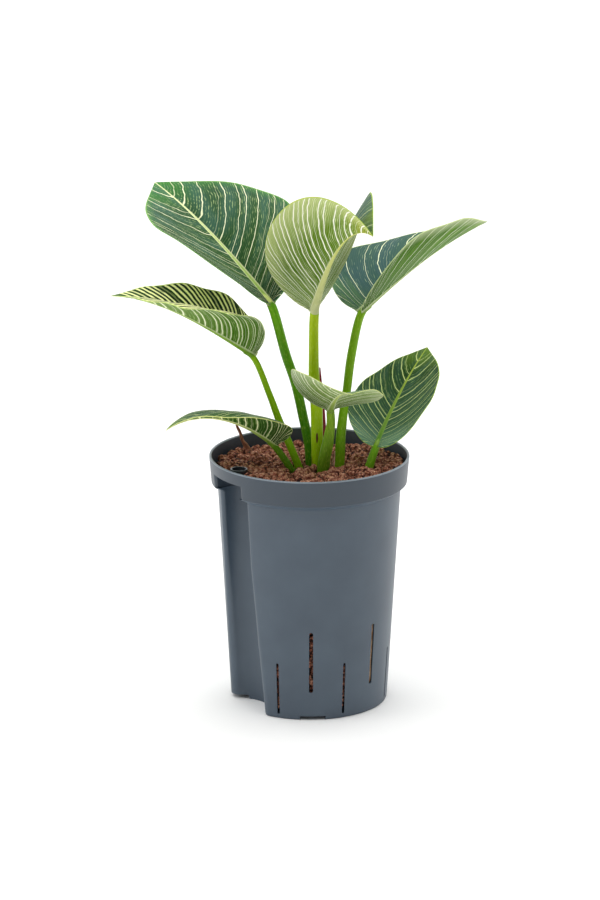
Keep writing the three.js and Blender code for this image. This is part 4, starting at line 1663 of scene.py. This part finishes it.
@dataclass(frozen=True)
class ClayBed:
    """Expanded clay: lumps over the bed and behind the slots, on a core darkened as painted shade
    that shows in the gaps.
    """

    pot: Pot
    stalks: tuple[tuple[float, float, float], ...]
    kinds: int = 10
    pitch: float = 5.1
    lump_radii: tuple[float, float] = (2.3, 3.6)
    slot_lump_radii: tuple[float, float] = (1.8, 2.9)
    middle_z: float = 182.0
    slope: float = 3.2 / 72
    core_top: float = 177.0
    core_inset: float = 8.0
    seed: int = 19

    # Unevenness of a lump: how many dents and bulges, their depths, roughness, proportions
    DENTS = 9
    DENT_DEPTHS = (-0.3, 0.26)
    ROUGH = 0.09
    PROPORTIONS = (0.82, 1.15)
    # Layers of the bed: how deep under its surface, and the share of places that is filled
    LAYERS = ((3.0, 1.0), (0.2, 0.7))
    LAYER_SHIFT = (0.3, 0.4)
    # Rows of a close packing stand this share of the pitch apart
    ROW = 0.87
    JITTER = 0.45
    HEAP = 0.9
    HEAP_LENGTHS = (9.0, 11.0)
    WALL_GAP = 1.1
    TOUCH = 0.7
    SHELF_SEAT = 0.75
    # Lumps behind a slot: shift round the pot, sway in millimetres, steps up in radii
    SLOT_SHIFT = 0.04
    SLOT_SWAY = 1.6
    SLOT_STEPS = (1.3, 1.8)
    SLOT_SEAT = 1.1
    SLOT_ENDS = (2.0, 3.0)
    ROOT_ROOM = 4.0
    # Beside the gauge's sleeve: half the angle and the core's radius there
    SLEEVE_HALF = 0.7
    SLEEVE_CORE = 34.0
    # Tone of the core: painted shade in the gaps between the lumps
    CORE_SHADE_TONE = -0.3
    # Radius of the core's two poles, and so the reach that closes them
    NEAR_AXIS = 0.01
    CORE_FACES = (72, 24)

    def top(self, y: Points) -> Points:
        """Give the bed's height at a distance from front to back."""
        return self.middle_z - self.slope * y

    def build(self) -> bpy.types.Object:
        """Model and dress the clay in place of its solid.

        Returns:
            The dressed clay.
        """
        draw = np.random.default_rng(self.seed)
        kinds = [self.lump(draw, k) for k in range(self.kinds)]
        spots = self.bed_spots(draw) + self.slot_spots(draw)
        lumps = []
        for place, radius in spots:
            kind = kinds[int(draw.integers(self.kinds))]
            lump = bpy.data.objects.new("clay_lump", kind.data.copy())
            bpy.context.scene.collection.objects.link(lump)
            lump.location = [c * MM for c in place]
            lump.rotation_euler = draw.uniform(0, 2 * np.pi, 3)
            lump.scale = [radius * MM * s for s in draw.uniform(*self.PROPORTIONS, 3)]
            set_number(lump.data, "tone", np.full(len(lump.data.vertices), draw.random()))
            lumps.append(lump)
        for kind in kinds:
            bpy.data.objects.remove(kind)
        clay = join([self.core(), *lumps], "dressed_clay")
        select_only(clay)
        bpy.ops.object.transform_apply(location=True, rotation=True, scale=True)
        clay.data.materials.clear()
        clay.data.materials.append(FiredClay().material())
        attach(clay, "root")
        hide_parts("clay_granules")
        return clay

    def lump(self, draw: np.random.Generator, number: int) -> bpy.types.Object:
        """Model one kind of lump: an icosphere dented and bulged, of radius 1.

        Args:
            draw: the source of chance.
            number: the kind's number.

        Returns:
            The lump.
        """
        lump = add_object(bpy.ops.mesh.primitive_ico_sphere_add, subdivisions=2, radius=1.0)
        lump.name = f"clay_kind_{number}"
        points = read_points(lump.data)
        ways = draw.normal(size=(self.DENTS, 3))
        ways /= np.linalg.norm(ways, axis=1)[:, None]
        pushes = draw.uniform(*self.DENT_DEPTHS, self.DENTS)
        grow = 1 + sum(push * np.clip(points @ way, 0, 1) ** 4 for way, push in zip(ways, pushes))
        grow += draw.uniform(-self.ROUGH, self.ROUGH, len(points))
        write_points(lump.data, points * grow[:, None])
        bpy.ops.object.shade_smooth()
        return lump

    def bed_spots(self, draw: np.random.Generator) -> list[tuple[tuple, float]]:
        """Draw the places and radii of the lumps that make the bed's surface.

        Args:
            draw: the source of chance.

        Returns:
            Place and radius of each lump.
        """
        spots = []
        rows = int(self.pot.rim / (self.pitch * self.ROW)) + 1
        long_x, long_y = self.HEAP_LENGTHS
        for layer, (drop, share) in enumerate(self.LAYERS):
            shift_x, shift_y = (layer * shift for shift in self.LAYER_SHIFT)
            for row in range(-rows, rows + 1):
                for column in range(-rows, rows + 1):
                    jitter = draw.uniform(-self.JITTER, self.JITTER, 3) * self.pitch
                    radius = draw.uniform(*self.lump_radii)
                    keep = draw.random() < share
                    x = (column + 0.5 * (row % 2) + shift_x) * self.pitch + jitter[0]
                    y = (row + shift_y) * self.pitch * self.ROW + jitter[1]
                    heap = self.HEAP * math.sin(x / long_x + 1.0) * math.cos(y / long_y)
                    z = float(self.top(y)) - drop + heap + 0.5 * jitter[2]
                    if keep and self.is_free(x, y, radius):
                        spots.append(((x, y, self.above_shelf(x, y, z, radius)), radius))
        return spots

    def above_shelf(self, x: float, y: float, z: float, radius: float) -> float:
        """Lift a lump that would stick into the gauge's sleeve onto the sleeve's shelf.

        Args:
            x: the lump's place.
            y: the lump's place.
            z: its height.
            radius: its radius.

        Returns:
            The height it gets.
        """
        gx, gy = self.pot.channel.axis()
        beside = math.hypot(x - gx, y - gy) - self.pot.channel.narrow - self.pot.wall
        lifted = max(z, self.pot.shelf_top + self.SHELF_SEAT * radius)
        return lifted if beside < radius else z

    def is_free(self, x: float, y: float, radius: float) -> bool:
        """Tell whether a lump has room between the wall, the collar and the stalks.

        Args:
            x: the lump's place.
            y: the lump's place.
            radius: its radius.

        Returns:
            Whether it has room.
        """
        if math.hypot(x, y) > self.pot.rim - self.pot.wall - self.WALL_GAP - radius:
            return False
        posts = ((*self.pot.channel.axis(), self.pot.collar), *self.stalks)
        return all(math.hypot(x - px, y - py) > reach + self.TOUCH * radius
                   for px, py, reach in posts)

    def slot_spots(self, draw: np.random.Generator) -> list[tuple[tuple, float]]:
        """Draw the lumps that show through the drain slots, deeper where the root passes.

        Args:
            draw: the source of chance.

        Returns:
            Place and radius of each lump.
        """
        pot, spots = self.pot, []
        below, above = self.SLOT_ENDS
        for k, (angle, (_, low, high)) in enumerate(pot.slots()):
            aside = angle + self.SLOT_SHIFT * math.cos(angle)
            room = self.ROOT_ROOM * (k == pot.root_slot)
            z = low - below
            while z < high + above:
                radius = draw.uniform(*self.slot_lump_radii)
                reach = pot.body_radius(z) - pot.wall - radius * self.SLOT_SEAT - room
                swing = aside + draw.uniform(-self.SLOT_SWAY, self.SLOT_SWAY) / reach
                if z > pot.floor + radius:
                    spots.append(((reach * math.cos(swing), reach * math.sin(swing), z), radius))
                z += radius * draw.uniform(*self.SLOT_STEPS)
        return spots

    def core(self) -> bpy.types.Object:
        """Model the mass under the lumps, darkened as painted shade for the gaps between them: a
        turned body a little inside the pot.

        Returns:
            The core.
        """
        pot, inset = self.pot, self.core_inset
        low, high, axis = pot.floor + 1, self.core_top, self.NEAR_AXIS
        profile = np.array([(axis, low), (pot.base - inset, low),
                            (pot.body_top_radius - inset, pot.body_top),
                            (pot.rim - inset, high), (axis, high)])

        def place(x: Points, y: Points) -> Points:
            """Turn the profile round the pot's axis, cut back beside the gauge's sleeve.

            Args:
                x: shares of a turn.
                y: shares along the profile.

            Returns:
                The points in millimetres.
            """
            a = x * 2 * np.pi
            radius = np.interp(y, np.linspace(0, 1, len(profile)), profile[:, 0])
            z = np.interp(y, np.linspace(0, 1, len(profile)), profile[:, 1])
            off = np.abs((a - pot.channel.angle + np.pi) % (2 * np.pi) - np.pi)
            radius = np.where(off < self.SLEEVE_HALF, np.minimum(radius, self.SLEEVE_CORE), radius)
            z = z - self.slope * np.sin(a) * radius * (z > pot.band_bottom)
            return np.stack([radius * np.cos(a), radius * np.sin(a), z], -1)

        core, _ = lay_grid("clay_core", *self.CORE_FACES, place)
        merge_points(core, self.NEAR_AXIS * MM, outward=True)
        # The core's low tone paints shade into the gaps between the lumps
        set_number(core.data, "tone", np.full(len(core.data.vertices), self.CORE_SHADE_TONE))
        return core


@dataclass(frozen=True)
class Roots:
    """Crown and roots: bark on the solid, and the living root that shows behind a slot."""

    pot: Pot
    radius: float = 1.7
    inset: float = 1.9
    turn: float = 0.05
    sway: float = 0.01
    sway_in: float = 0.15
    below: float = 8.0
    above: float = 6.0

    KNOTS = 9
    SWAY_STEP = 1.3
    SWAY_IN_STEP = 1.7
    FACES = (12, 40)

    def build(self) -> bpy.types.Object:
        """Give the solid its bark, and model and dress the root at the slot.

        Returns:
            The root at the slot.
        """
        bark = RootBark().material()
        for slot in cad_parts["crown_and_roots"].material_slots:
            slot.material = bark
        root = tube("root_at_slot", self.path(), *self.FACES)
        root.data.materials.append(bark)
        shade_smooth(root)
        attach(root, "root")
        return root

    def path(self) -> SmoothPath:
        """Give the root's path, from below the slot to above it.

        Returns:
            The path.
        """
        pot = self.pot
        angle, (_, low, high) = pot.slots()[pot.root_slot]
        points = []
        for k, z in enumerate(np.linspace(low - self.below, high + self.above, self.KNOTS)):
            swing = angle + self.turn + self.sway * math.sin(self.SWAY_STEP * k)
            reach = (pot.body_radius(z) - pot.wall - self.inset
                     - self.sway_in * math.cos(self.SWAY_IN_STEP * k))
            points.append((reach * math.cos(swing), reach * math.sin(swing), float(z),
                           self.radius))
        return SmoothPath(points)


# Studio

@dataclass(frozen=True)
class Studio:
    """Plain pale floor, soft light and the camera: millimetres and degrees for the camera,
    metres and watts for the lights."""

    aim: tuple[float, float, float] = (-6.95, 0.0, 193.0)
    elevation: float = 16.12
    distance: float = 3000.0
    focal: float = 160.52
    sensor: float = 36.0
    floor_size: float = 14.0
    world: tuple[float, float] = (0.36, 1.2)
    # Where on the way to the back the world's light starts to grow, and is full
    world_places: tuple[float, float] = (-0.3, 0.9)

    def build(self) -> None:
        """Set up the floor, the lights and the camera."""
        self.floor()
        self.light("sky", (0.0, 0.8, 4.0), (0.0, 0.8, 0.0), size=7.0, power=230.0)
        self.light("left", (-1.3, -0.3, 0.9), (0.0, 0.0, 0.2), size=0.7, power=4.0)
        tent = Recipe("light_tent", bpy.data.worlds.new("light_tent"))
        way = tent.add("SeparateXYZ", {0: tent.add("TexCoord", output="Generated")}, "Y")
        level = tent.span(way, *self.world_places, *self.world)
        tent.feed(Color=linear("#ffffff"), Strength=level)
        bpy.context.scene.world = tent.material
        bpy.context.scene.view_settings.view_transform = "Standard"
        self.camera()

    def floor(self) -> None:
        """Lay the floor: matt backdrop paper, nearly white and without gloss."""
        floor = add_object(bpy.ops.mesh.primitive_plane_add, size=self.floor_size)
        floor.name = "floor"
        r = Recipe("matt_white_backdrop_paper")
        r.feed(Base_Color=linear("#fbfbfa"), Roughness=0.95, Specular_IOR_Level=0.1)
        floor.data.materials.append(r.material)

    @staticmethod
    def light(name: str, place: Sequence[float], target: Sequence[float], size: float,
              power: float) -> None:
        """Add a square soft light.

        Args:
            name: its name.
            place: where it hangs, in metres.
            target: the point it faces.
            size: its side in metres.
            power: its power in watts.
        """
        lamp = add_object(bpy.ops.object.light_add, type="AREA", location=place)
        lamp.name = "light_" + name
        lamp.data.size = size
        lamp.data.energy = power
        away = lamp.location - type(lamp.location)(target)
        lamp.rotation_euler = away.to_track_quat("Z", "Y").to_euler()

    def camera(self) -> None:
        """Place the camera."""
        tilt = math.radians(self.elevation)
        x, y, z = self.aim
        camera = add_object(
            bpy.ops.object.camera_add,
            location=(x * MM, (y - self.distance * math.cos(tilt)) * MM,
                      (z + self.distance * math.sin(tilt)) * MM),
            rotation=(math.pi / 2 - tilt, 0, 0))
        camera.data.sensor_fit = "VERTICAL"
        camera.data.sensor_height = self.sensor
        camera.data.lens = self.focal
        bpy.context.scene.camera = camera


# The plant

def leaves() -> list[Leaf]:
    """List the seven leaves with their forms and finishes.

    Returns:
        The leaves.
    """
    return [
        Leaf(
            "leaf_top_left",
            BladeShape(joint=(-28.5, 12, 303), length=188, right=59, left=60, heading=120, rise=22,
                       sway=2, droop=11, bend=1.8, roll=-20, twist=2, fold_right=(58, 9),
                       curl_right=-28, fold_left=(52, 11), curl_left=9, lobe=0.05, waves=3,
                       wave=1.2),
            stalk=((-17.4, 8.5, 264, 3.9), (-10.4, 7, 243, 3.9), (-4.9, 5.5, 218.5, 3.9),
                   (-0.1, 4, 194, 3.9), (1.5, 3, 163, 3.9)),
            upper=BladeSide(ground=("#14340e", "#2c5024", "#335638", "#43863a"), sheen_and_shade="#43695a",
                            stripe="#f6f8cc", rib=("#9cba5c", "#e4ecb0"), edge="#7fae5a",
                            stripes=0.36, faint=0.3, width=0.16, dash_tone="#b9d08c", fine=0.1,
                            fine_lines=3.0, dash_along=13.0, margin="#45803e", margin_from=0.88,
                            rib_width=(3.0, 0.5), rib_edge=0.7),
            under=BladeSide(ground=("#6f9440", "#7d9d4c", "#97b06a", "#a9bf72"), sheen_and_shade="#8aa660",
                            stripe="#e6ecc0", rib=("#b6c46a", "#d8dc9a"), edge="#b9cc7c"),
            skin=StalkSkin("stalk_top_left", low="#427e08", high="#74b422")),
        Leaf(
            "leaf_top_centre",
            BladeShape(joint=(3.5, -8, 302), length=161, right=53, left=52, heading=-70, rise=57,
                       sway=-3, droop=57, bend=1.4, roll=-3, twist=1, fold_right=(54, 65),
                       curl_right=-26, fold_left=(53, 70), curl_left=-16, lobe=0.03, waves=2,
                       wave=0.6),
            stalk=((3.2, -7.3, 268, 4), (3.5, -7, 250.5, 4.3), (5.3, -6.7, 228, 4.8),
                   (5.7, -6.4, 206.5, 4.8), (6.5, -6, 162, 4.8)),
            upper=BladeSide(ground=("#2c5a2c", "#2f5a34", "#335a3a", "#7f9a30"), sheen_and_shade="#3f665a",
                            stripe="#dfe8a8", rib=("#86a856", "#cdd68a"), edge="#9cb94a"),
            under=BladeSide(ground=("#7d9a4c", "#456a04", "#628404", "#b9b93a"), sheen_and_shade="#567c08",
                            stripe="#fbfce6", rib=("#cdd29a", "#ccce58"), edge="#c3cf6a",
                            veins=36.0, stripes=0.5, faint=0.5, width=0.3, dash=0.95,
                            dash_tone="#e6eeb4", fine=0.35, fine_lines=3.0, dash_along=6.0,
                            margin="#c3d088", margin_from=0.45, rib_width=(3.6, 0.1),
                            rib_edge=0.25, rib_taper=2.6, quilt_mm=0.3),
            skin=StalkSkin("stalk_top_centre", low="#9cc40a", high="#b2cc1e", fleck="#cdda6a",
                           scars=((5.7, -11.2, 205.5, 0.85, 4.6), (1.3, -8.4, 187, 1.0, 5.5)))),
        Leaf(
            "leaf_top_right",
            BladeShape(joint=(38.5, 9, 297.5), length=157, right=48, left=49, heading=51, rise=20,
                       sway=-4, droop=11, bend=1.5, roll=-6, twist=-2, fold_right=(43, 30),
                       curl_right=23, fold_left=(43, 4), curl_left=-10, lobe=0.04, waves=3,
                       wave=1),
            stalk=((31.3, 4, 265.5, 3.3), (27.7, 0.8, 237.5, 3.2), (25.7, -0.5, 225, 3.3),
                   (23.6, -2.5, 205.5, 3.8), (21.6, -5, 179, 3.9), (15, -7, 160, 3.9)),
            upper=BladeSide(ground=("#567a50", "#385850", "#3e6052", "#4c6c4c"), sheen_and_shade="#3c5a5c",
                            stripe="#f2f8cc", rib=("#a0b878", "#cdd89a"), edge="#c3d494",
                            veins=26.0, stripes=0.26, faint=0.3, width=0.15, dash=0.55,
                            dash_tone="#b4cc9c", fine=0.1, fine_lines=3.0, dash_cut=(0.56, 0.64)),
            under=BladeSide(ground=("#386004", "#427200", "#568806", "#7a9c44"), sheen_and_shade="#346000",
                            stripe="#eef4d4", rib=("#8aa850", "#c8cf7c"), edge="#cddc9c",
                            veins=30.0, stripes=0.34, faint=0.3, width=0.2, dash=0.4,
                            dash_tone="#b4c878", margin="#bcc89c", margin_from=0.8),
            skin=StalkSkin("stalk_top_right", low="#6fa40a", high="#86b824")),
        Leaf(
            "leaf_middle_left",
            BladeShape(joint=(-41.5, -1, 266), length=117, right=49, left=49, heading=169, rise=30,
                       sway=5, droop=30, bend=2.3, roll=37, twist=-13, fold_right=(21, 28),
                       curl_right=56, fold_left=(51, -6), curl_left=-60, lobe=0.02, waves=5,
                       wave=1),
            stalk=((-29.5, -4.8, 237, 2.5), (-22.5, -6.6, 218, 2.9), (-14, -8.5, 198, 3),
                   (-7, -10, 180, 3), (-1.5, -10, 160, 3)),
            upper=BladeSide(ground=("#1c3c16", "#102810", "#14301c", "#2c5428"), sheen_and_shade="#16342c",
                            stripe="#fcffb4", rib=("#5c8a3a", "#cfdc84"), edge="#d0e488",
                            veins=37.0, stripes=0.8, faint=0.2, width=0.56, dash=0.6,
                            dash_tone="#a9cc6c"),
            under=BladeSide(ground=("#386404", "#3c6a08", "#7f9c54", "#b9c69c"), sheen_and_shade="#6a8c40",
                            stripe="#f2f8d0", rib=("#6f9a2a", "#a9c45a"), edge="#d3dfa0",
                            stripes=0.5, faint=0.4, width=0.28, dash=0.75, dash_tone="#b9cc88",
                            margin="#bccaa0", margin_from=0.66, rib_width=(2.8, 0.4)),
            skin=StalkSkin("stalk_middle_left", low="#76a802", high="#8ab80e")),
        Leaf(
            "leaf_low_left",
            BladeShape(joint=(-25.5, -16, 201.5), length=88, right=43, left=46, heading=181,
                       rise=37, sway=10, droop=70, bend=1.5, roll=12, twist=0, fold_right=(37, 11),
                       curl_right=-38, fold_left=(57, 12), curl_left=-60, lobe=0.05, waves=3,
                       wave=0.8),
            stalk=((-18.8, -18, 191.5, 2.7), (-12.5, -19, 181.5, 2.7), (-2, -15.5, 160, 2.9)),
            upper=BladeSide(ground=("#28481c", "#28501c", "#2c5622", "#5a802c"), sheen_and_shade="#34583a",
                            stripe="#eef4ae", rib=("#6c9a40", "#d8de8c"), edge="#d8e08a",
                            stripes=0.4),
            under=BladeSide(ground=("#284806", "#284c08", "#426c24", "#8aa03c"), sheen_and_shade="#305820",
                            stripe="#f4f8c0", rib=("#6c9420", "#f0f0a0"), edge="#f0f4a8",
                            veins=24.0, stripes=0.5, faint=0.4, width=0.24, dash=0.85,
                            dash_tone="#b4cc80", rib_width=(2.2, 0.9)),
            skin=StalkSkin("stalk_low_left", low="#447402", high="#5f900e")),
        Leaf(
            "leaf_low_centre",
            BladeShape(joint=(15.5, -20, 230), length=106, right=39, left=36, heading=-85, rise=29,
                       sway=8, droop=18, bend=1.3, roll=4, twist=-3, fold_right=(21, 17),
                       curl_right=41, fold_left=(14, 10), curl_left=-28, lobe=0.05, waves=3,
                       wave=0.6),
            stalk=((15.9, -19.6, 219.5, 3.4), (13.7, -19.4, 204, 4.6), (11.1, -19, 191, 4.9),
                   (9.5, -16.5, 160, 4.9)),
            upper=BladeSide(ground=("#2f5426", "#2a4c24", "#365c30", "#587c38"), sheen_and_shade="#3a6040",
                            stripe="#dfe8a8", rib=("#6c9a40", "#cfd884"), edge="#c9d684"),
            under=BladeSide(ground=("#467010", "#587c1c", "#7c9848", "#a8b880"), sheen_and_shade="#7a9450",
                            stripe="#fafce4", rib=("#86a648", "#c6cf7a"), edge="#dde4a8",
                            veins=22.0, stripes=0.6, faint=0.35, width=0.24, dash=0.8,
                            dash_tone="#d3deb0", fine=0.3, margin="#a4b680", margin_from=0.6,
                            rib_width=(2.4, 0.4), quilt_mm=0.3),
            skin=StalkSkin("stalk_low_centre", low="#507a10", high="#8ab428")),
        Leaf(
            "leaf_low_right",
            BladeShape(joint=(49.5, -10, 199), length=120, right=40, left=32, heading=71, rise=27,
                       sway=-7, droop=6, bend=1.3, roll=5, twist=-2, fold_right=(24, 11),
                       curl_right=24, fold_left=(45, 10), curl_left=-30, lobe=0.05, waves=4,
                       wave=0.9),
            stalk=((46.5, -12.4, 190, 3.2), (44, -14, 181.5, 3.4), (38, -13, 160, 3.6)),
            upper=BladeSide(ground=("#6c9078", "#3c5c44", "#26461a", "#6a8a28"), sheen_and_shade="#34584a",
                            stripe="#dcea98", rib=("#5c9038", "#a9bc4a"), edge="#9dbb48",
                            stripes=0.34, faint=0.35, width=0.2, dash=0.65, dash_tone="#8cb064",
                            sheen_and_shade_share=0.45, rib_width=(2.4, 0.4), rib_edge=0.12),
            under=BladeSide(ground=("#4c7418", "#5c8024", "#6f9040", "#8aa050"), sheen_and_shade="#7f9a58",
                            stripe="#dce4a8", rib=("#7fa236", "#b8c66a"), edge="#c9d684"),
            skin=StalkSkin("stalk_low_right", low="#5f960a", high="#74b01c")),
    ]


def small_pieces() -> list[SmallPiece]:
    """List the rolled leaf, the sheaths and the dead root.

    Returns:
        The pieces.
    """
    return [
        SmallPiece("new_leaf_spear",
                   ((11.5, 1.2, 162, 2.3), (11.5, 1.4, 180, 2.3), (10.8, 1.6, 206, 2.0),
                    (9.9, 2, 227, 1.5), (8.7, 2.6, 242, 1.1), (7.8, 3.2, 256, 0.5)),
                   StalkSkin("new_leaf_skin", low="#86142c", high="#9c2440", fleck="#c06070"),
                   slot="spear", knobs=0.06),
        SmallPiece("dry_sheath_right",
                   ((15.6, -13.4, 163, 1.6), (16.4, -14, 176, 1.8), (17.6, -14.4, 187, 2.1),
                    (18.9, -14.2, 196, 0.7)),
                   DryFibre("papery_sheath", dark="#a0705c", light="#dcb09c"),
                   slot="dry_sheath", knobs=0.2, flatness=0.2),
        SmallPiece("dry_sheath_left",
                   ((0.6, -5.2, 163, 1.1), (-0.8, -4.6, 176, 1.2), (-4.6, -4.2, 185, 1.1),
                    (-8.8, -4.2, 194, 0.5)),
                   DryFibre("papery_sheath_left", dark="#8a5648", light="#c08c7c"),
                   slot="dry_sheath", knobs=0.3, flatness=0.4),
        SmallPiece("dry_root",
                   ((-40, 33, 168, 2.2), (-45, 36.5, 182, 2.2), (-50.4, 37, 189.5, 1.9),
                    (-52, 37, 195.5, 1.6), (-55, 37, 202, 1.3)),
                   DryFibre("dead_root_bark", dark="#5c3424", light="#ac7454", roughness=0.85),
                   slot="dry_root", knobs=0.45),
    ]


def stalk_feet(plant: Sequence[Leaf], pieces: Sequence[SmallPiece],
               level: float) -> tuple[tuple[float, float, float], ...]:
    """Find where stalks and small pieces pass through the bed's surface.

    Args:
        plant: the leaves.
        pieces: the small pieces.
        level: the surface's height in millimetres.

    Returns:
        x, y and radius of each.
    """
    paths = [leaf.path() for leaf in plant] + [SmoothPath(piece.points) for piece in pieces]
    feet = []
    for path in paths:
        i = int(np.argmin(np.abs(path.places[:, 2] - level)))
        feet.append((*path.places[i, :2], float(path.radii[i])))
    return tuple(feet)


def main() -> None:
    """Build every piece in order."""
    logging.basicConfig(level=logging.INFO, format="%(name)s: %(message)s")
    plant, pieces, pot = leaves(), small_pieces(), Pot()
    feet = stalk_feet(plant, pieces, FEET_LEVEL)
    for builder in (pot, ClayBed(pot, feet), *plant, *pieces, Roots(pot)):
        piece = builder.build()
        log.info("%s: %d faces", piece.name, len(piece.data.polygons))
    Studio().build()
    log.info("studio ready")


if __name__ == "__main__":
    main()
